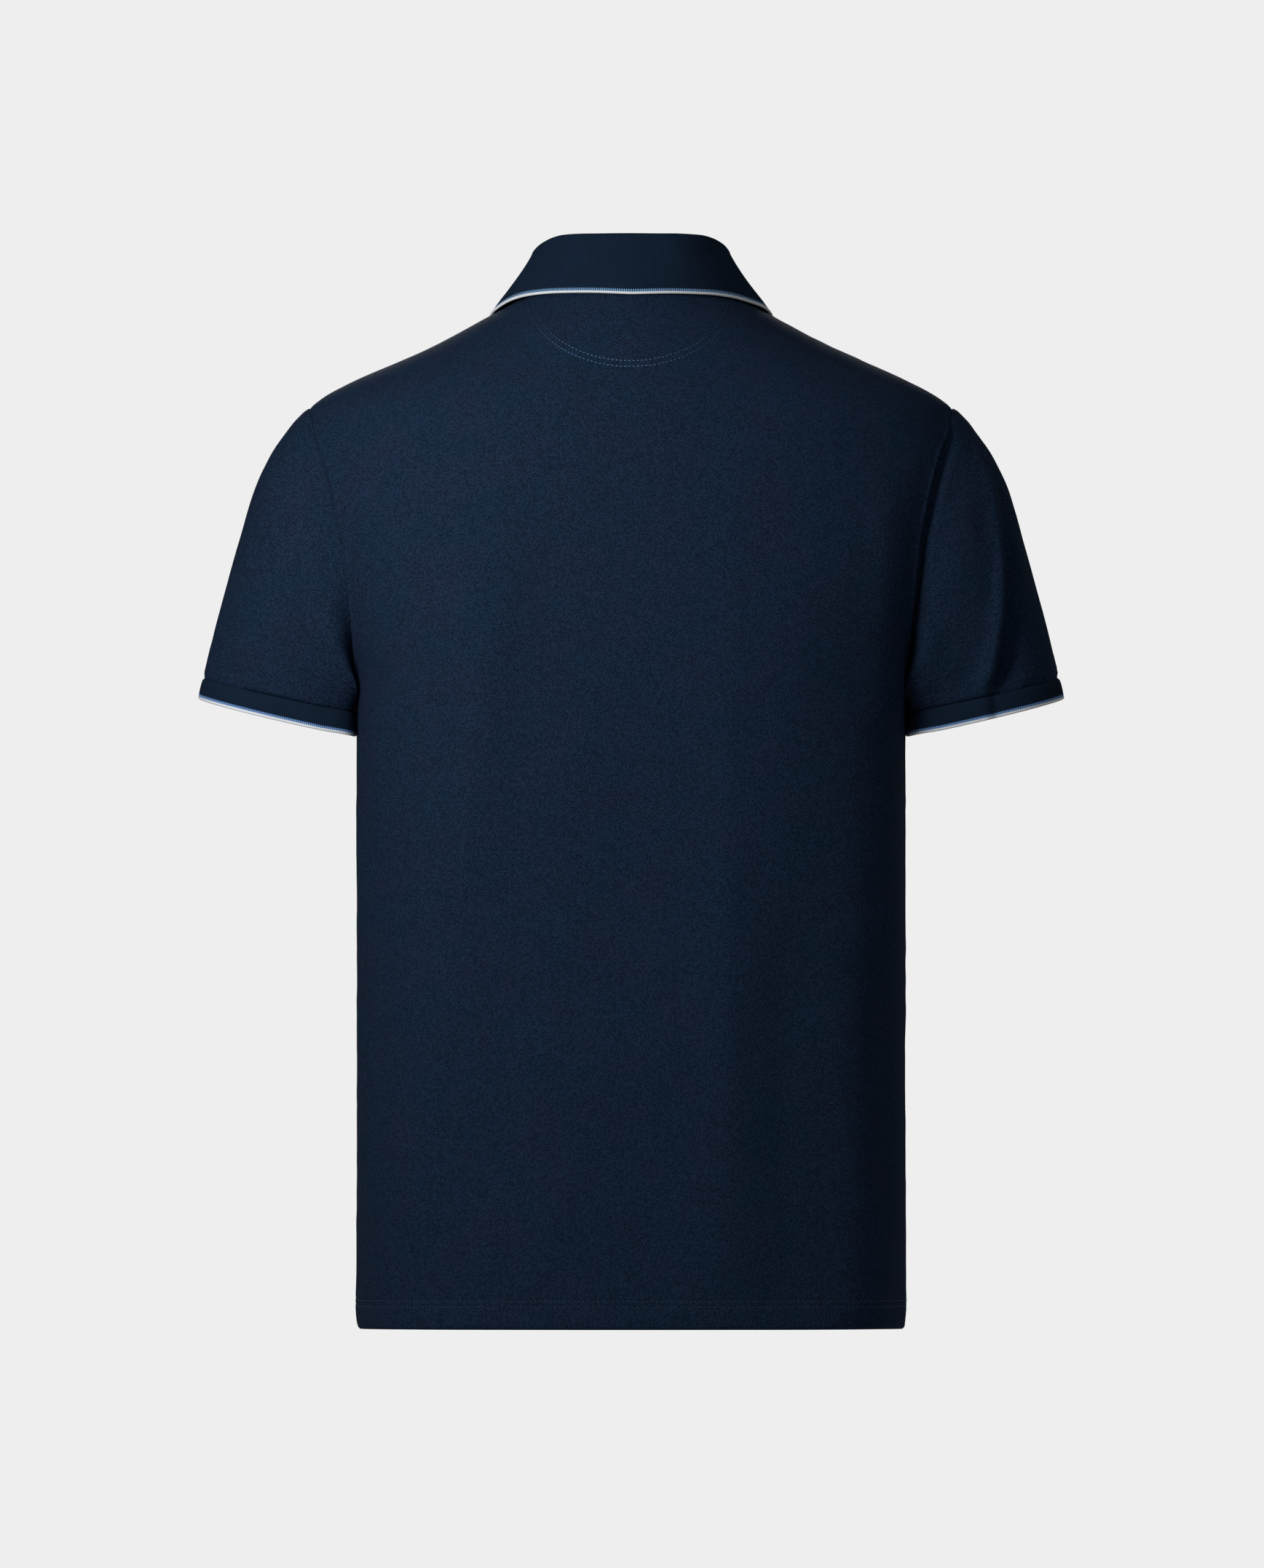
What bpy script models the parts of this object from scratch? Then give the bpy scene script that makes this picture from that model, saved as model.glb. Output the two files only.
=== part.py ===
"""A short-sleeved polo shirt, filled out and hollow, as the pieces it is sewn from.

The shirt faces -Y and the wearer's left is +X. The origin is at the base of the neck,
where the wearer's shoulders carry the shirt. All sizes are in metres, all turns in radians.
"""

import math

import bmesh
import bpy
import numpy as np

# Cloth
CLOTH = 0.0015  # wall of the pique panels
RIB = 0.0019  # wall of the rib-knit collar and cuffs
SEAM = 0.0003  # gap between two sewn pieces

# Heights, from the base of the neck
HEM_Z = -0.6936
HEM_SIDE_DROP = 0.0040  # how much lower the hem hangs at the sides
HEM_EASE = 0.5  # the share of the height up to which that fades out
UNDERARM_Z = -0.262
TIP_Z = -0.066  # shoulder tip, where the sleeve is set in
NECK_SIDE_Z = 0.010

# Neckline
NECK_HALF_WIDTH = 0.076
NECK_BACK_RISE = 0.012
NECK_FRONT_DROP = 0.072

# Armhole, as an egg seen from the side
ARMHOLE_BACK = 0.067
ARMHOLE_FRONT = 0.068
ARMHOLE_EGG = 0.02

# Placket and buttons
PLACKET_WIDTH = 0.034
PLACKET_LENGTH = 0.156
PLACKET_PROUD = 0.0007
UNDER_INSET = 0.0005  # how much narrower the under band is, each side
UNDER_TOP_GAP = 0.001  # how far the under band stops below the neckline
BUTTON_RADIUS = 0.0058
BUTTON_THICK = 0.0022
BUTTON_HEIGHTS = (-0.076, -0.125, -0.174)

# Half-moon patch inside the back neck
MOON_CENTRE_Z = 0.012
MOON_HALF_WIDTH = 0.0725
MOON_DROP = 0.0535
MOON_THICK = 0.0010
MOON_TOP_GAP = 0.0005
MOON_SPAN = 0.97  # the share of its half-width where its two ends are cut off

# Collar
FOLD_RADIUS = 0.0020
FALL_LIFT = 0.0018  # from the panels to the middle of the fall's wall
FALL_DROP = 0.010  # how far the fall hangs straight down from its fold
COLLAR_END_X = 0.0009
STAND_PULL = 0.3  # how long the stand keeps its direction at both its ends
EDGE_PULL = 0.4  # the same for the fall, at its edge

# Grid sizes
BODY_ROWS = 13
ARMHOLE_ROWS = 16
SHOULDER_ROWS = 6
PANEL_COLUMNS = 13  # from the side to the middle
FRONT_SPAN = 0.94  # how near the middle the front's even columns come, beside the placket
SLEEVE_ROWS = 11
STAND_STEPS = (0, 0.3, 0.65, 1)
FOLD_STEPS = 4
FALL_STEPS = (0, 0.2, 0.45, 0.72, 1)

# Rings round the torso. The ones between the shoulder tip and the underarm are
# open at the armholes, so their half-width only guides the armhole's edge.
TORSO_COLUMNS = ("z", "half_width", "back", "front", "squareness")
TORSO = (
    (0.024, 0.0600, 0.0630, 0.0460, 2.10),
    (0.010, 0.0760, 0.0715, 0.0550, 2.10),
    (-0.005, 0.1020, 0.0800, 0.0610, 2.08),
    (-0.020, 0.1300, 0.0870, 0.0670, 2.05),
    (-0.035, 0.1630, 0.0925, 0.0725, 2.05),
    (-0.050, 0.1965, 0.0980, 0.0780, 2.05),
    (-0.058, 0.2110, 0.1005, 0.0815, 2.06),
    (-0.066, 0.2205, 0.1030, 0.0850, 2.08),
    (-0.090, 0.2290, 0.1090, 0.0940, 2.15),
    (-0.121, 0.2265, 0.1145, 0.1040, 2.35),
    (-0.163, 0.2180, 0.1195, 0.1130, 2.50),
    (-0.197, 0.2080, 0.1220, 0.1170, 2.60),
    (-0.222, 0.1990, 0.1230, 0.1190, 2.66),
    (-0.244, 0.1927, 0.1235, 0.1200, 2.70),
    (-0.268, 0.1893, 0.1235, 0.1200, 2.72),
    (-0.310, 0.1882, 0.1230, 0.1190, 2.72),
    (-0.420, 0.1882, 0.1205, 0.1170, 2.70),
    (-0.560, 0.1882, 0.1205, 0.1180, 2.65),
    (-0.692, 0.1882, 0.1220, 0.1200, 2.60),
)

# Soft folds of the panels. A ridge has a height above 0 and a trough one below it.
FOLD_COLUMNS = ("x_top", "z_top", "x_bottom", "z_bottom", "bow", "width", "height")
BACK_FOLDS = (
    (-0.078, -0.040, -0.064, -0.700, 0.004, 0.026, 0.0038),
    (0.092, -0.060, 0.150, -0.680, -0.010, 0.030, 0.0042),
    (0.052, -0.060, 0.112, -0.650, 0.004, 0.030, -0.0026),
    (-0.112, -0.380, -0.104, -0.720, 0.000, 0.026, -0.0030),
    (-0.150, -0.400, -0.158, -0.720, 0.000, 0.022, 0.0030),
    (-0.178, -0.090, -0.176, -0.290, 0.004, 0.014, 0.0026),
    (0.000, -0.100, 0.008, -0.520, 0.000, 0.050, -0.0024),
)
FRONT_FOLDS = (
    (0.100, -0.130, 0.070, -0.700, 0.006, 0.028, 0.0036),
    (-0.108, -0.120, -0.088, -0.690, -0.006, 0.030, 0.0040),
    (0.140, -0.300, 0.126, -0.720, 0.004, 0.024, -0.0028),
    (-0.045, -0.330, -0.040, -0.720, 0.000, 0.030, -0.0026),
)

# Sections of a sleeve, from the armhole to the cuff's seam. Each lies in a plane that
# holds the Y axis' direction, from an inner point by the body to an outer point.
SLEEVE_COLUMNS = ("along", "outer_x", "outer_z", "inner_x", "inner_z", "back", "front")
SLEEVE = (
    (0.00, 0.2205, -0.0660, 0.1900, -0.2620, 0.0670, 0.0680),
    (0.05, 0.2285, -0.0722, 0.1905, -0.2630, 0.0635, 0.0650),
    (0.12, 0.2375, -0.0830, 0.1908, -0.2645, 0.0635, 0.0640),
    (0.22, 0.2478, -0.0980, 0.1910, -0.2660, 0.0640, 0.0640),
    (0.36, 0.2592, -0.1230, 0.1910, -0.2680, 0.0625, 0.0625),
    (0.52, 0.2686, -0.1550, 0.1907, -0.2695, 0.0595, 0.0600),
    (0.68, 0.2771, -0.1850, 0.1900, -0.2710, 0.0565, 0.0565),
    (0.84, 0.2855, -0.2160, 0.1897, -0.2720, 0.0530, 0.0530),
    (1.00, 0.2937, -0.2498, 0.1895, -0.2730, 0.0500, 0.0500),
)
CUFF_BOTTOM = {
    "outer_x": 0.2972,
    "outer_z": -0.2650,
    "inner_x": 0.1890,
    "inner_z": -0.2905,
    "back": 0.0505,
    "front": 0.0505,
}
CUFF_SAG = 0.0022  # how far the back of the cuff hangs below its ends
# Folds along a sleeve: where round the section (0 outer, 90 degrees back), and how far.
SLEEVE_FOLD_COLUMNS = ("turn_top", "turn_bottom", "start", "end", "width", "height")
SLEEVE_FOLDS = {
    "sleeve_left": ((0.70, 1.05, 0.10, 1.00, 0.30, 0.0012),),
    "sleeve_right": (
        (0.55, 1.15, 0.12, 1.05, 0.16, -0.0042),
        (0.25, 0.78, 0.10, 1.05, 0.16, 0.0022),
        (0.95, 1.55, 0.20, 1.05, 0.18, 0.0020),
    ),
}

# The collar from the middle of the back (0) to its front end (180 degrees): the top of
# its fold, and the torso point that its outer edge lies over. The lean is how far the fall
# goes out for each metre down, where it leaves the fold.
COLLAR_COLUMNS = ("round", "fold_x", "fold_y", "fold_z", "edge_turn", "edge_z", "bulge", "lean")
COLLAR = (
    (0, 0.0000, 0.0690, 0.0511, 90, 0.0090, 0.0020, 0.00),
    (25, 0.0285, 0.0650, 0.0511, 68, 0.0098, 0.0020, 0.00),
    (45, 0.0463, 0.0520, 0.0507, 50, 0.0095, 0.0020, 0.05),
    (65, 0.0576, 0.0310, 0.0478, 30, 0.0080, 0.0032, 0.38),
    (90, 0.0656, 0.0020, 0.0403, 0, 0.0013, 0.0022, 0.50),
    (115, 0.0645, -0.0250, 0.0312, -28, -0.0085, 0.0030, 0.13),
    (140, 0.0580, -0.0495, 0.0130, -50, -0.0230, 0.0020, 0.10),
    (160, 0.0420, -0.0660, -0.0090, -65, -0.0420, 0.0030, 0.05),
    (180, 0.0030, -0.0790, -0.0370, -76, -0.0640, 0.0020, 0.00),
)


def smooth_curve(stations, values):
    """A smooth curve through the rows of a table, which never overshoots them."""
    order = np.argsort(stations)
    at, value = np.asarray(stations, float)[order], np.asarray(values, float)[order]
    step = np.diff(at)
    slope = np.diff(value) / step
    product = slope[:-1] * slope[1:]
    total = slope[:-1] + slope[1:]
    inner = np.where(product > 0, 2 * product / np.where(total == 0, 1, total), 0)
    tangent = np.concatenate([slope[:1], inner, slope[-1:]])

    def value_at(place):
        place = np.clip(place, at[0], at[-1])
        row = np.clip(np.searchsorted(at, place) - 1, 0, len(step) - 1)
        part = (place - at[row]) / step[row]
        rise = value[row + 1] - value[row]
        left = tangent[row] * step[row] - rise
        right = tangent[row + 1] * step[row] - rise
        bend = part * (1 - part) * ((1 - part) * left - part * right)
        return value[row] + part * rise + bend

    return value_at


def smooth_table(columns, rows):
    """One smooth curve for each column of a table, over its first column."""
    table = dict(zip(columns, np.array(rows, float).T))
    return {name: smooth_curve(table[columns[0]], table[name]) for name in columns[1:]}


def ease(value, low, high):
    """0 below low, 1 above high, and a smooth step between them."""
    part = np.clip((value - low) / (high - low), 0, 1)
    return part * part * (3 - 2 * part)


def unit(vectors):
    return vectors / np.linalg.norm(vectors, axis=-1, keepdims=True)


def mirrored(points):
    return points * np.array([-1.0, 1.0, 1.0])


def signed_power(value, power):
    return np.sign(value) * np.abs(value) ** power


# ---- Torso ----

torso_at = smooth_table(TORSO_COLUMNS, TORSO)


def fold_height(x, z, folds):
    """Height of a panel's folds at each point, which fade out at both ends."""
    height = np.zeros(np.broadcast(x, z).shape)
    for row in folds:
        fold = dict(zip(FOLD_COLUMNS, row))
        length = fold["z_top"] - fold["z_bottom"]
        part = np.clip((fold["z_top"] - z) / length, 0, 1)
        middle = fold["x_top"] + (fold["x_bottom"] - fold["x_top"]) * part
        middle = middle + fold["bow"] * np.sin(math.pi * part)
        fade = ease(part, 0, 0.3) * (1 - ease(part, 0.85, 1.0))
        height = height + fold["height"] * fade * np.exp(-(((x - middle) / fold["width"]) ** 2))
    return height


def torso(turn, z):
    """The torso's outer surface. Turn 0 is the wearer's left side and 90 degrees the back."""
    turn, z = np.broadcast_arrays(np.asarray(turn, float), np.asarray(z, float))
    cosine, sine = np.cos(turn), np.sin(turn)
    half_width, squareness = torso_at["half_width"](z), torso_at["squareness"](z)
    depth = np.where(sine >= 0, torso_at["back"](z), torso_at["front"](z))
    across = signed_power(cosine, 2 / squareness)
    along = signed_power(sine, 2 / squareness)
    x, y = half_width * across, depth * along
    out = unit(
        np.stack(
            [
                signed_power(across, squareness - 1) / half_width,
                signed_power(along, squareness - 1) / depth,
                0 * z,
            ],
            axis=-1,
        )
    )
    away = ease(np.abs(sine), 0.12, 0.45)
    height = np.where(sine >= 0, fold_height(x, z, BACK_FOLDS), fold_height(x, z, FRONT_FOLDS))
    return np.stack([x, y, z], axis=-1) + out * (height * away)[..., None]


def torso_normal(turn, z):
    """Outward normal of the torso, the same for the two panels that meet at a seam."""
    turn, z = np.broadcast_arrays(np.asarray(turn, float), np.asarray(z, float))
    small_turn, small_z = 0.02, 0.002
    around = torso(turn + small_turn, z) - torso(turn - small_turn, z)
    up = torso(turn, z + small_z) - torso(turn, z - small_z)
    return unit(np.cross(around, up))


def turn_at_x(x, z, side):
    """The turn at which the ring at z has this x, on the back (side 1) or front (-1)."""
    share = np.clip(np.abs(x) / torso_at["half_width"](z), 0, 1)
    quarter = np.arccos(share ** (torso_at["squareness"](z) / 2))
    return side * np.where(np.asarray(x) >= 0, quarter, math.pi - quarter)


def turn_at_depth(depth, z, side):
    """The turn at which the ring at z is this far behind or in front of the side."""
    reach = torso_at["back"](z) if side > 0 else torso_at["front"](z)
    return side * np.arcsin(np.clip(depth / reach, 0, 1) ** (torso_at["squareness"](z) / 2))


def neckline_z(turn):
    """Height of the neckline: a slight rise at the back, a U at the front."""
    quarter = np.abs(np.arctan2(np.sin(turn), np.abs(np.cos(turn))))
    back = NECK_SIDE_Z + NECK_BACK_RISE * np.sin(quarter) ** 2
    low = np.full(np.shape(quarter), NECK_SIDE_Z - NECK_FRONT_DROP)
    high = np.full(np.shape(quarter), NECK_SIDE_Z)
    for _ in range(40):
        z = (low + high) / 2
        x = torso_at["half_width"](z) * np.cos(quarter) ** (2 / torso_at["squareness"](z))
        inside = (x / NECK_HALF_WIDTH) ** 2 + ((NECK_SIDE_Z - z) / NECK_FRONT_DROP) ** 2 < 1
        low, high = np.where(inside, low, z), np.where(inside, z, high)
    return np.where(np.sin(turn) >= 0, back, (low + high) / 2)


# ---- Panels ----


def armhole_angles():
    """Even steps down the armhole's egg, from the shoulder tip to the underarm."""
    return np.linspace(0, math.pi, ARMHOLE_ROWS + 1)


def armhole_height(angle):
    return (TIP_Z + UNDERARM_Z) / 2 + (TIP_Z - UNDERARM_Z) / 2 * np.cos(angle)


def armhole_turn(angle, side):
    """Turn of the armhole's edge on the back (side 1) or front (-1) panel."""
    reach = ARMHOLE_BACK if side > 0 else ARMHOLE_FRONT
    depth = reach * np.sin(angle) * (1 - ARMHOLE_EGG * np.cos(angle))
    return turn_at_depth(depth, armhole_height(angle), side)


def side_levels():
    """Heights of a panel's rows at its side, hem to neck, and the edge's turn at each."""
    angles = armhole_angles()[::-1]
    body = np.linspace(HEM_Z, UNDERARM_Z, BODY_ROWS + 1)[:-1]
    shoulder = np.linspace(TIP_Z, NECK_SIDE_Z, SHOULDER_ROWS + 1)[1:]
    heights = np.concatenate([body, armhole_height(angles), shoulder])
    edges = {
        side: np.concatenate([0 * body, np.abs(armhole_turn(angles, side)), 0 * shoulder])
        for side in (1, -1)
    }
    return heights, edges


def level_shares():
    heights, _ = side_levels()
    return (heights - HEM_Z) / (NECK_SIDE_Z - HEM_Z)


def placket_bottom_row():
    """The panel row nearest to the bottom of the placket's slit."""
    middle_top = NECK_SIDE_Z - NECK_FRONT_DROP
    middle = HEM_Z + level_shares() * (middle_top - HEM_Z)
    return int(np.argmin(np.abs(middle - (middle_top - PLACKET_LENGTH))))


def hem_drop(turn):
    """How much lower the hem hangs at this turn than in the middle of a panel."""
    return HEM_SIDE_DROP * (1 - np.abs(np.sin(turn)) ** (2 / TORSO[-1][4]))


def column_heights(turn_top):
    """Heights of all rows in the column that ends on the neckline at turn_top."""
    levels = level_shares()
    heights = HEM_Z + levels * (neckline_z(turn_top) - HEM_Z)
    return heights - hem_drop(turn_top) * (1 - ease(levels, 0, HEM_EASE))


def half_panel(side):
    """Turns and heights of the wearer's-left half, from its side edge to the middle."""
    _, edges = side_levels()
    quarter = math.pi / 2
    turns, heights = [], []
    shares = np.linspace(0, 1, PANEL_COLUMNS + 1)
    if side < 0:
        shares = np.linspace(0, FRONT_SPAN, PANEL_COLUMNS - 1)
    for share in shares:
        heights.append(column_heights(side * share * quarter))
        turns.append(side * (edges[side] + share * (quarter - edges[side])))
    if side < 0:
        slit = PLACKET_WIDTH / 2 + SEAM
        heights.append(front_column_heights(slit))
        turns.append(turn_at_x(slit, heights[-1], side))
        heights.append(column_heights(-quarter))
        turns.append(np.full(len(heights[-1]), -quarter))
    return np.array(turns).T, np.array(heights).T


def front_column_heights(x):
    """Heights of all rows in the front column that keeps this x all the way up."""
    top = NECK_SIDE_Z - NECK_FRONT_DROP
    for _ in range(6):
        top = neckline_z(turn_at_x(x, top, -1))
    return HEM_Z + level_shares() * (top - HEM_Z)


def panel_walls(side):
    """Outer and inner points of a whole panel, with half a seam's gap at its sides."""
    turns, heights = half_panel(side)
    turns = np.concatenate([turns, side * math.pi - turns[:, -2::-1]], axis=1)
    heights = np.concatenate([heights, heights[:, -2::-1]], axis=1)
    outer = torso(turns, heights)
    inner = outer - CLOTH * torso_normal(turns, heights)
    _, edges = side_levels()
    seamed = edges[side] < 1e-6
    for points in (outer, inner):
        points[seamed, 0, 1] += side * SEAM / 2
        points[seamed, -1, 1] += side * SEAM / 2
    return outer, inner


def cloth_wall(name, outer, inner, colour, keep=None, closed=False):
    """One closed body between two grids of points. Keep says which cells have cloth,
    and a closed grid's last column joins its first."""
    rows, columns = outer.shape[:2]
    count = rows * columns
    faces, rim = [], {}
    for row in range(rows - 1):
        for column in range(columns if closed else columns - 1):
            if keep is not None and not keep[row, column]:
                continue
            beside = (column + 1) % columns
            cell = (
                row * columns + column,
                row * columns + beside,
                (row + 1) * columns + beside,
                (row + 1) * columns + column,
            )
            faces.append(cell)
            faces.append(tuple(corner + count for corner in reversed(cell)))
            for start, end in zip(cell, cell[1:] + cell[:1]):
                if rim.pop((end, start), None) is None:
                    rim[start, end] = True
    faces += [(end, start, start + count, end + count) for start, end in rim]
    mesh = bpy.data.meshes.new(name)
    points = np.concatenate([outer.reshape(-1, 3), inner.reshape(-1, 3)])
    mesh.from_pydata(points.tolist(), [], faces)
    return finish_piece(name, mesh, colour)


def finish_piece(name, mesh, colour):
    """Points a mesh's faces outwards and puts it in the scene with its material."""
    work = bmesh.new()
    work.from_mesh(mesh)
    loose = [point for point in work.verts if not point.link_faces]
    bmesh.ops.delete(work, geom=loose, context="VERTS")
    bmesh.ops.recalc_face_normals(work, faces=work.faces)
    work.to_mesh(mesh)
    work.free()
    mesh.shade_smooth()
    mesh.set_sharp_from_angle(angle=math.radians(50))
    piece = bpy.data.objects.new(name, mesh)
    piece.data.materials.append(plain_material(name, *colour))
    shirt.objects.link(piece)
    return piece


def plain_material(name, colour, roughness):
    material = bpy.data.materials.new(name)
    material.use_nodes = True
    surface = material.node_tree.nodes["Principled BSDF"]
    surface.inputs["Base Color"].default_value = (*colour, 1)
    surface.inputs["Roughness"].default_value = roughness
    surface.inputs["Metallic"].default_value = 0
    return material


PIQUE = ((0.011, 0.020, 0.041), 0.85)
RIB_KNIT = ((0.009, 0.017, 0.033), 0.9)
BUTTON = ((0.010, 0.014, 0.026), 0.35)


def make_back():
    outer, inner = panel_walls(1)
    cloth_wall("back", outer, inner, PIQUE)


def make_front():
    outer, inner = panel_walls(-1)
    keep = np.ones((outer.shape[0] - 1, outer.shape[1] - 1), bool)
    middle = outer.shape[1] // 2
    keep[placket_bottom_row() :, middle - 1 : middle + 1] = False
    cloth_wall("front", outer, inner, PIQUE, keep)


# ---- Placket ----


def placket_points(half_width, level, rows, top_gap):
    """Front points between +-half_width on these rows, raised from the panel by level."""
    columns = []
    for x in (half_width, 0.0, -half_width):
        heights = front_column_heights(abs(x) + 1e-6)[rows].copy()
        heights[-1] -= top_gap
        turns = turn_at_x(x, heights, -1)
        columns.append(torso(turns, heights) + level * torso_normal(turns, heights))
    return np.array(columns).transpose(1, 0, 2)


def make_placket():
    rows = slice(placket_bottom_row(), None)
    top = [placket_points(PLACKET_WIDTH / 2, level, rows, 0) for level in (PLACKET_PROUD, -CLOTH)]
    for points in top:
        points[0, :, 2] += SEAM
    cloth_wall("placket_top", *top, PIQUE)
    behind = CLOTH + SEAM
    under_half = PLACKET_WIDTH / 2 - UNDER_INSET
    levels = (-behind, -behind - CLOTH)
    cloth_wall(
        "placket_under",
        *[placket_points(under_half, level, rows, UNDER_TOP_GAP) for level in levels],
        PIQUE,
    )


def make_buttons():
    """Round buttons with a raised rim, turned from one profile."""
    profile = (
        (0.0, 0.0),
        (0.80, 0.0),
        (1.0, 0.30),
        (1.0, 0.75),
        (0.90, 1.0),
        (0.72, 0.95),
        (0.62, 0.72),
        (0.0, 0.66),
    )
    for number, height in enumerate(BUTTON_HEIGHTS, 1):
        turn = -math.pi / 2
        out = torso_normal(turn, height)
        seat = torso(turn, height) + out * (PLACKET_PROUD + SEAM)
        across = np.array([1.0, 0.0, 0.0])
        up = np.cross(out, across)
        steps = 20
        points, faces = [], []
        for share, rise in profile:
            ring = 1 if share == 0 else steps
            for step in range(ring):
                angle = 2 * math.pi * step / steps
                spoke = across * math.cos(angle) + up * math.sin(angle)
                points.append(seat + spoke * share * BUTTON_RADIUS + out * rise * BUTTON_THICK)
        last = len(points) - 1
        for step in range(steps):
            beside = (step + 1) % steps
            faces.append((0, 1 + step, 1 + beside))
            for ring in range(len(profile) - 3):
                start = 1 + ring * steps
                low, high = start + step, start + beside
                faces.append((low, low + steps, high + steps, high))
            start = 1 + (len(profile) - 3) * steps
            faces.append((last, start + beside, start + step))
        mesh = bpy.data.meshes.new(f"button_{number}")
        mesh.from_pydata([tuple(point) for point in points], [], faces)
        finish_piece(f"button_{number}", mesh, BUTTON)


def make_half_moon():
    """The patch inside the back neck, made from the back panel's points moved in."""
    outer, inner = [], []
    for share in np.linspace(-MOON_SPAN, MOON_SPAN, 15):
        x = share * MOON_HALF_WIDTH
        top = NECK_SIDE_Z
        for _ in range(6):
            top = neckline_z(turn_at_x(x, top, 1))
        bottom = MOON_CENTRE_Z - MOON_DROP * math.sqrt(1 - share * share)
        heights = np.linspace(bottom, top - MOON_TOP_GAP, 6)
        turns = turn_at_x(x, heights, 1)
        out = torso_normal(turns, heights)
        outer.append(torso(turns, heights) - out * (CLOTH + SEAM))
        inner.append(outer[-1] - out * MOON_THICK)
    cloth_wall("half_moon", np.array(outer), np.array(inner), PIQUE)


# ---- Sleeves and cuffs ----

sleeve_at = smooth_table(SLEEVE_COLUMNS, SLEEVE)


def ring_angles():
    """Once round a sleeve: down the back from the top, then up the front."""
    down = armhole_angles()
    return np.concatenate([down[:-1], down[:-1] + math.pi])


def armhole_loop():
    """The armhole's edge on the wearer's left, the panels' own points."""
    points = []
    for angle in ring_angles():
        side = 1 if angle <= math.pi else -1
        from_top = angle if side > 0 else 2 * math.pi - angle
        points.append(torso(armhole_turn(from_top, side), armhole_height(from_top)))
    return np.array(points)


def section(place, egg, sag, folds, along):
    """A sleeve's section as its middle, its long half-axis and its local points."""
    outer = np.array([place["outer_x"], 0, place["outer_z"]])
    inner = np.array([place["inner_x"], 0, place["inner_z"]])
    middle, half = (outer + inner) / 2, (outer - inner) / 2
    reach = np.linalg.norm(half)
    angles = ring_angles()
    depth = np.where(np.sin(angles) >= 0, place["back"], place["front"])
    local = np.stack(
        [reach * np.cos(angles), depth * np.sin(angles) * (1 - egg * np.cos(angles))], axis=-1
    )
    normal = ring_normals(local)
    height = np.zeros(len(angles))
    for row in folds:
        fold = dict(zip(SLEEVE_FOLD_COLUMNS, row))
        part = np.clip((along - fold["start"]) / (fold["end"] - fold["start"]), 0, 1)
        centre = fold["turn_top"] + (fold["turn_bottom"] - fold["turn_top"]) * part
        near = np.exp(-(((angles - centre) / fold["width"]) ** 2))
        height += fold["height"] * math.sin(math.pi * min(part, 0.6) / 1.2) * near
    local = local + normal * height[:, None]
    axis = half / reach
    points = middle + local[:, :1] * axis + local[:, 1:] * np.array([0, 1, 0])
    points[:, 2] -= sag * np.clip(np.sin(angles), 0, 1)
    return points, axis, ring_normals(local)


def ring_normals(local):
    """Outward normals of a closed ring of 2D points."""
    along = np.roll(local, -1, axis=0) - np.roll(local, 1, axis=0)
    return unit(np.stack([along[:, 1], -along[:, 0]], axis=-1))


def ring_wall(points, axis, normal, thickness):
    """The ring moved in by the wall's thickness, in its own plane."""
    return points - thickness * (normal[:, :1] * axis + normal[:, 1:] * np.array([0, 1, 0]))


def make_sleeve(name, cuff_name, flip):
    flat_start, _, _ = section(dict(zip(SLEEVE_COLUMNS, SLEEVE[0])), ARMHOLE_EGG, 0, (), 0)
    bow = armhole_loop() - flat_start
    outer, inner = [], []
    places = np.concatenate([[0, 0.03], np.linspace(0.08, 1, SLEEVE_ROWS - 1)])
    for along in places:
        place = {column: curve(along) for column, curve in sleeve_at.items()}
        egg = ARMHOLE_EGG * (1 - ease(along, 0, 0.9))
        sag = CUFF_SAG * along
        ring, axis, normal = section(place, egg, sag, SLEEVE_FOLDS[name], along)
        away = np.array([axis[2], 0, -axis[0]])
        ring += bow * (1 - ease(along, 0, 0.6)) + away * SEAM
        outer.append(ring)
        inner.append(ring_wall(ring, axis, normal, CLOTH))
    cuff_outer, cuff_inner = [], []
    length = math.hypot(
        CUFF_BOTTOM["outer_x"] - place["outer_x"], CUFF_BOTTOM["outer_z"] - place["outer_z"]
    )
    for part in (2 * SEAM / length, 0.5, 1):
        mix = {key: place[key] + (CUFF_BOTTOM[key] - place[key]) * part for key in CUFF_BOTTOM}
        ring, axis, normal = section(mix, 0, CUFF_SAG, SLEEVE_FOLDS[name], 1)
        cuff_outer.append(ring)
        cuff_inner.append(ring_wall(ring, axis, normal, RIB))
    turned = mirrored if flip else np.array
    cloth_wall(name, turned(np.array(outer)), turned(np.array(inner)), PIQUE, closed=True)
    cloth_wall(
        cuff_name,
        turned(np.array(cuff_outer)),
        turned(np.array(cuff_inner)),
        RIB_KNIT,
        closed=True,
    )


# ---- Collar ----

collar_at = smooth_table(COLLAR_COLUMNS, COLLAR)


def collar_stations():
    """Turns of the neckline from the middle of the back to the front end, at the panels'
    own columns, each with its place round the collar in degrees."""
    back_turns, _ = half_panel(1)
    front_turns, front_heights = half_panel(-1)
    end_turn = turn_at_x(COLLAR_END_X, front_heights[-1, -1], -1)
    front = np.concatenate([front_turns[-1, 1:-1], [end_turn]])
    turns = np.concatenate([back_turns[-1, ::-1], front])
    return turns, 90 - np.degrees(turns)


def bezier(start, first, second, end, shares):
    part = np.array(shares)[:, None]
    rest = 1 - part
    return (
        rest**3 * start
        + 3 * rest**2 * part * first
        + 3 * rest * part**2 * second
        + part**3 * end
    )


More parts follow.
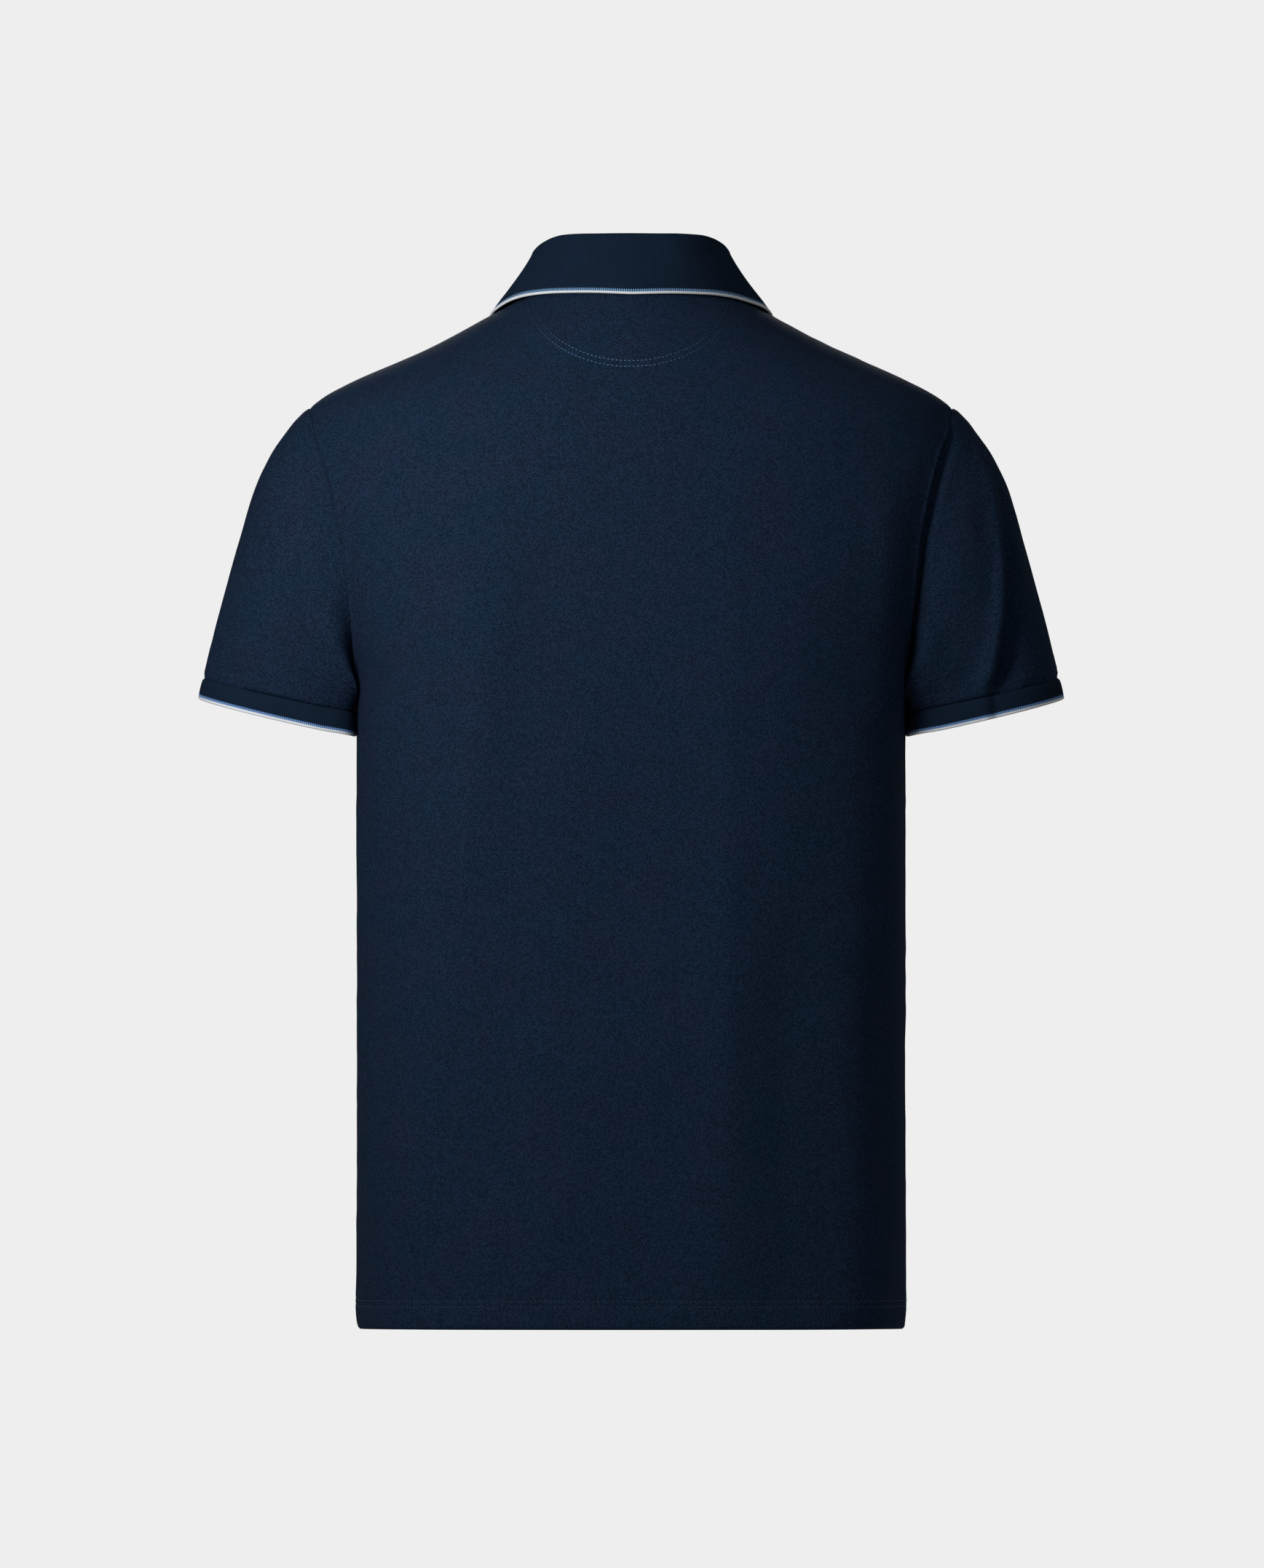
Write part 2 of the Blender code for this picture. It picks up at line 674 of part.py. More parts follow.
def collar_section(turn, place, neck_step):
    """Middle line of the collar's wall: up the stand, round the fold, down the fall."""
    z = neckline_z(turn)
    out = torso_normal(turn, z)
    rise = unit(np.cross(neck_step, out))
    rise = rise * np.sign(rise[2])
    seam = torso(turn, z) - out * RIB / 2 + rise * SEAM
    edge_turn = math.radians(place["edge_turn"])
    edge = torso(edge_turn, place["edge_z"]) + FALL_LIFT * torso_normal(edge_turn, place["edge_z"])
    up = np.array([0, 0, 1.0])
    centre = np.array([place["fold_x"], place["fold_y"], place["fold_z"]]) - up * FOLD_RADIUS
    level = (edge - centre) * np.array([1, 1, 0])
    outward = unit(level)
    inside, outside = centre - outward * FOLD_RADIUS, centre + outward * FOLD_RADIUS
    stand, fall = np.linalg.norm(inside - seam), np.linalg.norm(edge - outside)
    pull = stand * STAND_PULL
    stand_path = bezier(seam, seam + rise * pull, inside - up * pull, inside, STAND_STEPS)
    bend = np.linspace(math.pi, 0, FOLD_STEPS + 1)[1:-1, None]
    fold_path = centre + FOLD_RADIUS * (np.cos(bend) * outward + np.sin(bend) * up)
    toward = edge + (outside - edge) * EDGE_PULL + outward * place["bulge"]
    below = outside + (outward * place["lean"] - up) * min(fall * STAND_PULL, FALL_DROP)
    fall_path = bezier(outside, below, toward, edge, FALL_STEPS)
    return np.concatenate([stand_path, fold_path, fall_path]), out


def make_collar():
    turns, rounds = collar_stations()
    seam_line = torso(turns, neckline_z(turns))
    seam_steps = np.gradient(seam_line, axis=0)
    half, seam_normals = [], []
    for turn, where, step in zip(turns, rounds, seam_steps):
        place = {column: curve(where) for column, curve in collar_at.items()}
        path, out = collar_section(turn, place, step)
        half.append(path)
        seam_normals.append(out)
    half, seam_normals = np.array(half), np.array(seam_normals)
    middle = np.concatenate([half[::-1], mirrored(half[1:])])
    out = np.concatenate([seam_normals[::-1], mirrored(seam_normals[1:])])
    around = np.gradient(middle, axis=0)
    along = np.gradient(middle, axis=1)
    normal = unit(np.cross(along, around))
    sign = np.sign(np.sum(normal[:, 0] * out, axis=-1, keepdims=True))
    normal = normal * sign[:, None]
    normal[:, 0] = out
    outer = middle + normal * RIB / 2
    inner = middle - normal * RIB / 2
    cloth_wall("collar", outer, inner, RIB_KNIT)


def clear_scene():
    for thing in list(bpy.data.objects):
        bpy.data.objects.remove(thing, do_unlink=True)


clear_scene()
shirt = bpy.data.collections.new("polo_shirt")
bpy.context.scene.collection.children.link(shirt)
make_back()
make_front()
make_placket()
make_buttons()
make_half_moon()
make_sleeve("sleeve_left", "cuff_left", False)
make_sleeve("sleeve_right", "cuff_right", True)
make_collar()
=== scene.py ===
# A short-sleeved polo shirt, filled out as if worn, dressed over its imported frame.
# Metres throughout: the chest faces -Y, the back +Y and the wearer's left is +X.
import math

import bmesh
import bpy
import numpy as np
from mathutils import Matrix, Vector


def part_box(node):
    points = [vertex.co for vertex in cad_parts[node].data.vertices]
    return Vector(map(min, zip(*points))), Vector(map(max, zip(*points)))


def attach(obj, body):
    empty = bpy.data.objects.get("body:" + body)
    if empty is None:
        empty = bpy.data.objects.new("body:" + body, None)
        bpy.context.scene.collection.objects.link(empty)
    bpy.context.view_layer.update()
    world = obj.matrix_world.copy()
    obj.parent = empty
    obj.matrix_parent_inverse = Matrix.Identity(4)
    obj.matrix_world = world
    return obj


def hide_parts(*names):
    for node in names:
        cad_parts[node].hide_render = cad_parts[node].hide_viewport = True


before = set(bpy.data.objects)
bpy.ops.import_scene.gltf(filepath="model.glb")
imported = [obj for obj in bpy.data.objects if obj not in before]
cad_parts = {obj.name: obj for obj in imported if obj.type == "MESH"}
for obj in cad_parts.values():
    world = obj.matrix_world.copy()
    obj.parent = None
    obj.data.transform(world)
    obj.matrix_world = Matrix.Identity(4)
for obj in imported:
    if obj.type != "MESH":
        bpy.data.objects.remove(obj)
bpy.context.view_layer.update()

# the cut of the shirt
knit = {"wall": 0.0015, "rib": 0.0019, "seam": 0.0003, "ribPitch": 0.0014, "ribColumns": 4, "ribDepth": 0.00012}

torsoForm = {
    # z, half width, depth of the back, depth of the front, squareness
    "rings": (
        (0.024, 0.0600, 0.0630, 0.0460, 2.10),
        (0.010, 0.0760, 0.0715, 0.0550, 2.10),
        (-0.005, 0.1020, 0.0800, 0.0610, 2.08),
        (-0.020, 0.1300, 0.0870, 0.0670, 2.05),
        (-0.035, 0.1630, 0.0925, 0.0725, 2.05),
        (-0.050, 0.1965, 0.0980, 0.0780, 2.05),
        (-0.058, 0.2110, 0.1005, 0.0815, 2.06),
        (-0.066, 0.2205, 0.1030, 0.0850, 2.08),
        (-0.090, 0.2290, 0.1090, 0.0940, 2.15),
        (-0.121, 0.2265, 0.1145, 0.1040, 2.35),
        (-0.163, 0.2180, 0.1195, 0.1130, 2.50),
        (-0.197, 0.2080, 0.1220, 0.1170, 2.60),
        (-0.222, 0.1990, 0.1230, 0.1190, 2.66),
        (-0.244, 0.1927, 0.1235, 0.1200, 2.70),
        (-0.268, 0.1893, 0.1235, 0.1200, 2.72),
        (-0.310, 0.1882, 0.1230, 0.1190, 2.72),
        (-0.420, 0.1882, 0.1205, 0.1170, 2.70),
        (-0.560, 0.1882, 0.1205, 0.1180, 2.65),
        (-0.676, 0.1882, 0.1219, 0.1199, 2.61),
        (-0.694, 0.1873, 0.1220, 0.1200, 2.60),
    ),
    # xTop, zTop, xBottom, zBottom, bow, width, height
    "backFolds": (
        (-0.074, -0.300, -0.064, -0.700, 0.004, 0.030, 0.0030),
        (-0.168, -0.200, -0.170, -0.460, 0.000, 0.026, 0.0034),
        (0.092, -0.060, 0.150, -0.680, -0.010, 0.030, 0.0042),
        (0.052, -0.060, 0.112, -0.650, 0.004, 0.030, -0.0026),
        (-0.112, -0.380, -0.104, -0.720, 0.000, 0.026, -0.0030),
        (-0.150, -0.400, -0.158, -0.720, 0.000, 0.022, 0.0030),
        (-0.178, -0.090, -0.176, -0.290, 0.004, 0.014, 0.0026),
        (0.000, -0.100, 0.008, -0.520, 0.000, 0.050, -0.0024),
    ),
    "frontFolds": (
        (0.100, -0.130, 0.070, -0.700, 0.006, 0.028, 0.0036),
        (-0.108, -0.120, -0.088, -0.690, -0.006, 0.030, 0.0040),
        (0.140, -0.300, 0.126, -0.720, 0.004, 0.024, -0.0028),
        (-0.045, -0.330, -0.040, -0.720, 0.000, 0.030, -0.0026),
    ),
    "hem": -0.6936,
    "sideDrop": 0.0040,  # the hem hangs lower at the side seams
    "dropEase": 0.5,
    "corner": (0.0018, 0.075),  # how far the hem is rounded up at the side seams, and over which turn
    "underarm": -0.262,
    "shoulderTip": -0.066,
    "neckSide": 0.010,
}
neckline = {"halfWidth": 0.076, "backRise": 0.012, "frontDrop": 0.072}
armhole = {"back": 0.067, "front": 0.068, "egg": 0.02}

# degrees between two faces that still shade as one surface
smoothUpTo = {"cloth": 62, "button": 40}
edgeCloses = 0.96  # how far both faces of a wall close in on its middle at a rounded edge
thread = {"rings": 7, "around": 6, "taper": 0.45, "dip": 0.9, "rise": 1.25}
noiseLattice = {"cells": 97, "start": (31.7, 43.3)}
# the map for baking: the outside has two thirds of its height, the inside a third, the rim a strip between
bakeMap = {"start": 0.002, "width": 0.996, "outside": (0.345, 0.653), "inside": (0.002, 0.325), "rim": (0.331, 0.341)}
corners = ((0, 0), (0, 1), (1, 1), (1, 0))  # of a grid's cell, in rows and columns from its first point


def smoothCurve(stations, values):
    # a smooth curve through the rows of a table, which never overshoots them
    order = np.argsort(stations)
    at, value = np.asarray(stations, float)[order], np.asarray(values, float)[order]
    step = np.diff(at)
    slope = np.diff(value) / step
    product, total = slope[:-1] * slope[1:], slope[:-1] + slope[1:]
    inner = np.where(product > 0, 2 * product / np.where(total == 0, 1, total), 0)
    tangent = np.concatenate([slope[:1], inner, slope[-1:]])

    def valueAt(place):
        place = np.clip(place, at[0], at[-1])
        row = np.clip(np.searchsorted(at, place) - 1, 0, len(step) - 1)
        part = (place - at[row]) / step[row]
        rise = value[row + 1] - value[row]
        left, right = tangent[row] * step[row] - rise, tangent[row + 1] * step[row] - rise
        return value[row] + part * rise + part * (1 - part) * ((1 - part) * left - part * right)

    return valueAt


def smoothColumns(rows):
    # one curve for each column of a table, over its first column
    table = np.array(rows, float).T
    return [smoothCurve(table[0], column) for column in table[1:]]


def ease(value, low, high):
    part = np.clip((value - low) / (high - low), 0, 1)
    return part * part * (3 - 2 * part)


def hump(distance, width):
    return np.exp(-((distance / width) ** 2))


def ridge(distance, facts):
    # a raised line along an edge: its height, how far in it lies, and its width
    height, place, width = facts
    return height * hump(distance - place, width)


def unit(vectors):
    return vectors / np.maximum(np.linalg.norm(vectors, axis=-1, keepdims=True), 1e-12)


def signedPower(value, power):
    return np.sign(value) * np.abs(value) ** power


def softNoise(a, b, size, seed):
    # smooth random hills between -1 and 1, about this size across
    cells, start = noiseLattice["cells"], noiseLattice["start"]
    lattice = np.random.default_rng(seed).uniform(-1, 1, (cells, cells))
    a, b = np.asarray(a) / size + start[0], np.asarray(b) / size + start[1]
    i, j = np.floor(a).astype(int), np.floor(b).astype(int)
    s, t = [part * part * part * (part * (6 * part - 15) + 10) for part in (a - i, b - j)]
    at = lambda di, dj: lattice[(i + di) % cells, (j + dj) % cells]
    return (at(0, 0) * (1 - s) + at(1, 0) * s) * (1 - t) + (at(0, 1) * (1 - s) + at(1, 1) * s) * t


halfWidthAt, backAt, frontAt, squarenessAt = smoothColumns(torsoForm["rings"])


def foldHeight(x, z, folds):
    # soft folds that fade out at both ends
    height = np.zeros(np.broadcast(x, z).shape)
    for xTop, zTop, xBottom, zBottom, bow, width, rise in folds:
        part = np.clip((zTop - z) / (zTop - zBottom), 0, 1)
        middle = xTop + (xBottom - xTop) * part + bow * np.sin(math.pi * part)
        fade = ease(part, 0, 0.3) * (1 - ease(part, 0.85, 1.0))
        height = height + rise * fade * hump(x - middle, width)
    return height


def torso(turn, z):
    # the outer surface: turn 0 is the wearer's left side and 90 degrees the back
    turn, z = np.broadcast_arrays(np.asarray(turn, float), np.asarray(z, float))
    cosine, sine = np.cos(turn), np.sin(turn)
    halfWidth, squareness = halfWidthAt(z), squarenessAt(z)
    depth = np.where(sine >= 0, backAt(z), frontAt(z))
    across, along = signedPower(cosine, 2 / squareness), signedPower(sine, 2 / squareness)
    x, y = halfWidth * across, depth * along
    slopes = [signedPower(across, squareness - 1) / halfWidth, signedPower(along, squareness - 1) / depth]
    out = unit(np.stack([*slopes, 0 * z], axis=-1))
    away = ease(np.abs(sine), 0.12, 0.45)
    back, front = foldHeight(x, z, torsoForm["backFolds"]), foldHeight(x, z, torsoForm["frontFolds"])
    return np.stack([x, y, z], axis=-1) + out * (np.where(sine >= 0, back, front) * away)[..., None]


def torsoNormal(turn, z):
    turn, z = np.broadcast_arrays(np.asarray(turn, float), np.asarray(z, float))
    around = torso(turn + 0.02, z) - torso(turn - 0.02, z)
    up = torso(turn, z + 0.002) - torso(turn, z - 0.002)
    return unit(np.cross(around, up))


def turnAtX(x, z, side):
    share = np.clip(np.abs(x) / halfWidthAt(z), 0, 1)
    quarter = np.arccos(share ** (squarenessAt(z) / 2))
    return side * np.where(np.asarray(x) >= 0, quarter, math.pi - quarter)


def turnAtDepth(depth, z, side):
    reach = backAt(z) if side > 0 else frontAt(z)
    return side * np.arcsin(np.clip(depth / reach, 0, 1) ** (squarenessAt(z) / 2))


def necklineZ(turn):
    quarter = np.abs(np.arctan2(np.sin(turn), np.abs(np.cos(turn))))
    neckSide = torsoForm["neckSide"]
    back = neckSide + neckline["backRise"] * np.sin(quarter) ** 2
    low = np.full(np.shape(quarter), neckSide - neckline["frontDrop"])
    high = np.full(np.shape(quarter), neckSide)
    for _ in range(40):
        z = (low + high) / 2
        x = halfWidthAt(z) * np.cos(quarter) ** (2 / squarenessAt(z))
        inside = (x / neckline["halfWidth"]) ** 2 + ((neckSide - z) / neckline["frontDrop"]) ** 2 < 1
        low, high = np.where(inside, low, z), np.where(inside, z, high)
    return np.where(np.sin(turn) >= 0, back, (low + high) / 2)


def armholeHeight(angle):
    top, bottom = torsoForm["shoulderTip"], torsoForm["underarm"]
    return (top + bottom) / 2 + (top - bottom) / 2 * np.cos(angle)


def armholeTurn(angle, side):
    reach = armhole["back"] if side > 0 else armhole["front"]
    depth = reach * np.sin(angle) * (1 - armhole["egg"] * np.cos(angle))
    return turnAtDepth(depth, armholeHeight(angle), side)


def alongRows(points, axis):
    # distance run along an axis of a grid of points
    steps = np.linalg.norm(np.diff(points, axis=axis), axis=-1)
    pad = [(0, 0), (0, 0)]
    pad[axis] = (1, 0)
    return np.pad(np.cumsum(steps, axis=axis), pad)


def placesAlong(at, run, points):
    # points at these distances along a row of points
    return np.stack([np.interp(at, run, points[:, axis]) for axis in range(3)], -1)


def knitShell(name, outer, inner, grain, material, closed=False, keep=None):
    # a closed wall between two grids; "grain" holds each outer point's place on the cloth in metres
    rows, columns = outer.shape[:2]
    count = rows * columns
    last = columns if closed else columns - 1
    row, column = [place.ravel() for place in np.mgrid[0 : rows - 1, 0:last]]
    if keep is not None:
        kept = keep[row, column]
        row, column = row[kept], column[kept]
    cells = np.stack([(row + down) * columns + (column + over) % columns for down, over in corners], 1)
    # a piece of edge is on the rim if no other cell walks it the other way
    starts, ends = cells.ravel(), np.roll(cells, -1, axis=1).ravel()
    rim = ~np.isin(starts * count + ends, ends * count + starts)
    starts, ends = starts[rim], ends[rim]
    rims = np.stack([ends, starts, starts + count, ends + count], 1)
    faces = np.concatenate([cells, cells[:, ::-1] + count, rims])
    points = np.concatenate([outer.reshape(-1, 3), inner.reshape(-1, 3)])
    used = np.unique(faces)
    slot = np.full(len(points), -1)
    slot[used] = np.arange(len(used))
    mesh = bpy.data.meshes.new(name)
    mesh.from_pydata(points[used].tolist(), [], slot[faces].tolist())
    # the cloth's own coordinates, with no jump where a closed grid meets itself
    u, v = grain
    if closed:
        u, v = np.concatenate([u, 2 * u[:, -1:] - u[:, -2:-1]], axis=1), np.concatenate([v, v[:, :1]], axis=1)
    cloth = np.stack([u, v], -1)
    cellUv = np.stack([cloth[row + down, column + over] for down, over in corners], 1)
    rimUv = np.concatenate([cloth[:, :columns].reshape(-1, 2)] * 2)[rims]
    layer = mesh.uv_layers.new(name="grain")
    layer.data.foreach_set("uv", np.concatenate([cellUv, cellUv[:, ::-1], rimUv]).ravel())
    start, width = bakeMap["start"], bakeMap["width"]
    place = np.stack([np.stack([(column + over) / last, (row + down) / (rows - 1)], -1) for down, over in corners], 1)
    outsideMap, insideMap = [
        (start, low) + place * (width, height) for low, height in (bakeMap["outside"], bakeMap["inside"])
    ]
    left = start + width * (np.arange(len(rims)) / max(len(rims), 1))
    right = left + width / max(len(rims), 1)
    low, high = [np.full(len(rims), level) for level in bakeMap["rim"]]
    rimMap = np.stack([np.stack(corner, -1) for corner in ((right, high), (left, high), (left, low), (right, low))], 1)
    layer = mesh.uv_layers.new(name="OFBake")
    layer.data.foreach_set("uv", np.concatenate([outsideMap, insideMap[:, ::-1], rimMap]).ravel())
    return finishPiece(name, mesh, material)


def finishPiece(name, mesh, material):
    mesh.update()
    work = bmesh.new()
    work.from_mesh(mesh)
    bmesh.ops.recalc_face_normals(work, faces=work.faces)
    if work.calc_volume(signed=True) < 0:
        bmesh.ops.reverse_faces(work, faces=work.faces)
    work.to_mesh(mesh)
    work.free()
    mesh.shade_smooth()
    mesh.set_sharp_from_angle(angle=math.radians(smoothUpTo["cloth"]))
    mesh.materials.append(material)
    piece = bpy.data.objects.new(name, mesh)
    bpy.context.scene.collection.objects.link(piece)
    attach(piece, "root")
    return piece


def rollEdge(outer, inner, distance, radius):
    # rounds a wall's edge: both faces close in on its middle over the last stretch
    part = np.clip(1 - distance / radius, 0, 1)
    close = (1 - np.sqrt(np.clip(1 - part * part, 0, 1)))[..., None] * edgeCloses
    middle = (outer + inner) / 2
    return outer + (middle - outer) * close, inner + (middle - inner) * close


def stitchRow(points, normals, facts):
    # one row of short threads along a seam, each dipping into the cloth at both ends
    run = alongRows(points[None], 1)[0]
    count = max(1, round(run[-1] / facts["pitch"]))
    starts = (np.arange(count) + 0.12) * run[-1] / count
    part = np.linspace(0, 1, thread["rings"])
    where = starts[:, None] + part * facts["length"]
    centre, out = placesAlong(where, run, points), unit(placesAlong(where, run, normals))
    side = unit(np.cross(unit(np.gradient(centre, axis=1)), out))
    swell = np.sqrt(np.sin(math.pi * part))
    radius = facts["radius"] * (thread["taper"] + (1 - thread["taper"]) * swell)
    centre = centre + out * (facts["radius"] * (thread["rise"] * swell - thread["dip"]))[None, :, None]
    spokes = (np.arange(thread["around"]) * 2 * math.pi / thread["around"])[:, None]
    ring = radius[None, :, None, None] * (np.cos(spokes) * side[:, :, None] + np.sin(spokes) * out[:, :, None])
    return (centre[:, :, None] + ring).reshape(count, -1, 3)


def stitchPiece(name, rowsOfStitches, material):
    # all the threads of a seam as one piece
    tubes = np.concatenate(rowsOfStitches)
    rings, around = thread["rings"], thread["around"]
    ring, spoke = [place.ravel() for place in np.mgrid[0 : rings - 1, 0:around]]
    quads = np.stack([(ring + down) * around + (spoke + over) % around for down, over in corners], 1)
    ends = np.stack([np.arange(around)[::-1], (rings - 1) * around + np.arange(around)])
    firsts = (np.arange(len(tubes)) * rings * around)[:, None, None]
    faces = (quads + firsts).reshape(-1, 4).tolist() + (ends + firsts).reshape(-1, around).tolist()
    mesh = bpy.data.meshes.new(name)
    mesh.from_pydata(tubes.reshape(-1, 3).tolist(), [], faces)
    piece = finishPiece(name, mesh, material)
    return piece


class Value:
    # wraps a socket, so that sums and products of values read as maths
    def __init__(self, paint, socket):
        self.paint, self.socket = paint, socket

    def math(self, operation, *others):
        return self.paint.node("ShaderNodeMath", {"operation": operation}, [self, *others])

    def sibling(self, output):
        # another output of the node that this value comes from
        return Value(self.paint, self.socket.node.outputs[output])

    def __add__(self, other):
        return self.math("ADD", other)

    def __mul__(self, other):
        return self.math("MULTIPLY", other)

    def __sub__(self, other):
        return self.math("SUBTRACT", other)

    def __rsub__(self, other):
        return self.paint.node("ShaderNodeMath", {"operation": "SUBTRACT"}, [other, self])

    def __truediv__(self, other):
        return self.math("DIVIDE", other)

    __radd__, __rmul__ = __add__, __mul__


class Paint:
    def __init__(self, name, roughness, specular, sheen=0.0, sheenTint=(1, 1, 1)):
        self.material = bpy.data.materials.new(name)
        self.material.use_nodes = True
        self.tree = self.material.node_tree
        self.shader = self.tree.nodes["Principled BSDF"]
        for socket, value in {
            "Roughness": roughness,
            "Specular IOR Level": specular,
            "Sheen Weight": sheen,
            "Sheen Roughness": 0.45,
            "Sheen Tint": (*sheenTint, 1),
        }.items():
            self.shader.inputs[socket].default_value = value

    def node(self, kind, settings=None, sockets=None, output=0):
        made = self.tree.nodes.new(kind)
        for name, value in (settings or {}).items():
            setattr(made, name, value)
        pairs = sockets.items() if isinstance(sockets, dict) else enumerate(sockets or [])
        for name, value in pairs:
            if isinstance(value, Value):
                self.tree.links.new(value.socket, made.inputs[name])
            else:
                made.inputs[name].default_value = value
        return Value(self, made.outputs[output])

    def mix(self, share, first, second):
        colour = lambda c: c if isinstance(c, Value) else (*c, 1)
        return self.node("ShaderNodeMix", {"data_type": "RGBA"}, {0: share, 6: colour(first), 7: colour(second)}, 2)

    def scaled(self, colour, factor):
        return self.node("ShaderNodeVectorMath", {"operation": "SCALE"}, {0: colour, "Scale": factor})

    def grain(self):
        uv = self.node("ShaderNodeUVMap", {"uv_map": "grain"})
        u = self.node("ShaderNodeSeparateXYZ", {}, [uv])
        return uv, u, u.sibling("Y")

    def place(self):
        where = self.node("ShaderNodeTexCoord", {}, {}, "Object")
        x = self.node("ShaderNodeSeparateXYZ", {}, [where])
        return where, x, x.sibling("Z")

    def noise(self, vector, scale, detail=2.0, roughness=0.5):
        sockets = {"Vector": vector, "Scale": scale, "Detail": detail, "Roughness": roughness}
        return self.node("ShaderNodeTexNoise", {}, sockets)

    def clamped(self, value, low, high):
        sockets = {"Value": value, "From Min": low, "From Max": high}
        return self.node("ShaderNodeMapRange", {"interpolation_type": "SMOOTHSTEP"}, sockets)

    def drive(self, colour, roughness=None, height=None, bump=(0.5, 0.0002)):
        # "bump" holds the strength and the depth in metres of the height
        if height is not None:
            height = self.node("ShaderNodeBump", {}, {"Strength": bump[0], "Distance": bump[1], "Height": height})
        for socket, value in {"Base Color": colour, "Roughness": roughness, "Normal": height}.items():
            if value is not None:
                self.tree.links.new(value.socket, self.shader.inputs[socket])
        return self.material


# what both knits share; the yarn's noise is its scale, detail and roughness
yarnFinish = {"roughness": 0.88, "sheenTint": (0.35, 0.55, 1.0), "noise": (2100.0, 2.0, 0.75)}

piqueFinish = {
    "across": 0.00190,  # from one raised cell of the knit to the next
    "down": 0.00143,
    "uneven": 0.35,
    # the colour in the hollows between the raised cells, painted darker as painted shade of the knit's relief
    "deep": (0.0045, 0.0096, 0.0204),
    "tints": ((0.0126, 0.0322, 0.0690), (0.0172, 0.0300, 0.0672)),  # greener and redder navy
    "cellSpread": 0.62,  # how much one cell's shade differs from the next
    "fuzz": 1.85,
    "patches": (26.0, 3.0, 0.65),  # where one tint gives way to the other, as a noise
    "blotches": (60.0, 3.0, 0.6),
    "bump": (0.45, 0.00040),
}


def piqueKnit(name, finish):
    paint = Paint(name, yarnFinish["roughness"], 0.03, 0.006, yarnFinish["sheenTint"])
    uv, u, v = paint.grain()
    across, down = u / finish["across"], v / finish["down"]
    slanted = paint.node("ShaderNodeCombineXYZ", {}, [across + down, across - down, 0.0])
    lattice = {"Vector": slanted, "Scale": 1.0, "Randomness": finish["uneven"]}
    distance = paint.node("ShaderNodeTexVoronoi", {"voronoi_dimensions": "2D"}, lattice)
    cellShade = paint.node("ShaderNodeSeparateColor", {}, [distance.sibling("Color")])
    raised = 1 - paint.clamped(distance, 0.15, 0.62)
    yarn = paint.noise(uv, *yarnFinish["noise"])
    patches = paint.clamped(paint.noise(uv, *finish["patches"]), 0.38, 0.62)
    blotches = paint.noise(uv, *finish["blotches"]) - 0.5
    # darker in the hollows between the raised cells as painted shade, lighter on the cells, with random yarn tone
    base = paint.mix(raised * 0.75 + yarn * 0.5 - 0.18, finish["deep"], paint.mix(patches, *finish["tints"]))
    spread = finish["cellSpread"]
    shade = cellShade * spread + (1 - spread / 2) + (yarn - 0.5) * finish["fuzz"] + blotches * 0.10
    return paint.drive(paint.scaled(base, shade), 0.9 - raised * 0.10, raised + yarn * 0.35, finish["bump"])


collarFinish = {
    # the rib's navy in its hollows and on its crests; the hollows' darker navy is painted shade
    "valleyShaded": (0.0043, 0.0096, 0.0210),
    "ridge": (0.0082, 0.0188, 0.0390),
    # the second colour in the rib's hollows, painted darker as painted shade, and on its crests
    "skyShaded": (0.060, 0.125, 0.220),
    "sky": (0.200, 0.370, 0.620),
    "white": (0.84, 0.87, 0.90),
    "whiteStart": 0.0017,  # from the free edge
    "tippingStart": 0.0035,
    "ticks": 0.75,  # how far the second colour breaks up into ticks on the ribs
    "loop": 0.0009,  # from one row of stitches to the next
    "ragged": 0.0005,
    "soft": (0.0003, 0.0004),  # how softly the white and the second colour end
    "bump": (0.45, 0.0003),
}
cuffFinish = {
    **collarFinish,
    "whiteStart": 0.0019,
    "ticks": 0.30,
    # the cuff's second colour on the crests and, painted darker as painted shade, in the hollows
    "sky": (0.190, 0.345, 0.660),
    "skyShaded": (0.060, 0.130, 0.280),
}


def ribKnit(name, finish):
    # u counts ribs and v is the distance in metres from the free edge
    paint = Paint(name, yarnFinish["roughness"], 0.04, 0.01, yarnFinish["sheenTint"])
    _, u, v = paint.grain()
    ridge = paint.clamped((u * (2 * math.pi)).math("COSINE"), -0.7, 0.8)
    loops = (v * (2 * math.pi / finish["loop"])).math("SINE") * 0.5 + 0.5
    spread = paint.node("ShaderNodeCombineXYZ", {}, [u * knit["ribPitch"], v, 0.0])
    yarn = paint.noise(spread, *yarnFinish["noise"])
    patches = paint.noise(spread, 70.0, 3.0, 0.6)
    # navy painted darker in the hollows between the ribs as painted shade, with random yarn tone and patches
    navy = paint.mix(ridge * 0.30 + yarn * 1.3 + patches * 0.5 - 0.54, finish["valleyShaded"], finish["ridge"])
    ragged = v + (yarn - 0.5) * finish["ragged"]
    softWhite, softSky = finish["soft"]
    until = lambda edge, soft: 1 - paint.clamped(ragged, edge - soft, edge + soft)
    skyMask = until(finish["tippingStart"], softSky) * (ridge * finish["ticks"] + (1 - finish["ticks"]))
    # the second colour and the white are painted darker in the rib's hollows and between the rows of loops, as painted
    # shade, with random yarn tone
    skyTone = paint.mix(ridge * 0.6 + yarn * 0.4, finish["skyShaded"], finish["sky"])
    whiteShaded = tuple(0.74 * channel for channel in finish["white"])
    whiteTone = paint.mix(loops * 0.4 + ridge * 0.3 + yarn * 0.3, whiteShaded, finish["white"])
    colour = paint.mix(until(finish["whiteStart"], softWhite), paint.mix(skyMask, navy, skyTone), whiteTone)
    return paint.drive(colour, 0.9 - ridge * 0.1, ridge * 0.25 + loops * 0.45 + yarn * 0.4, finish["bump"])


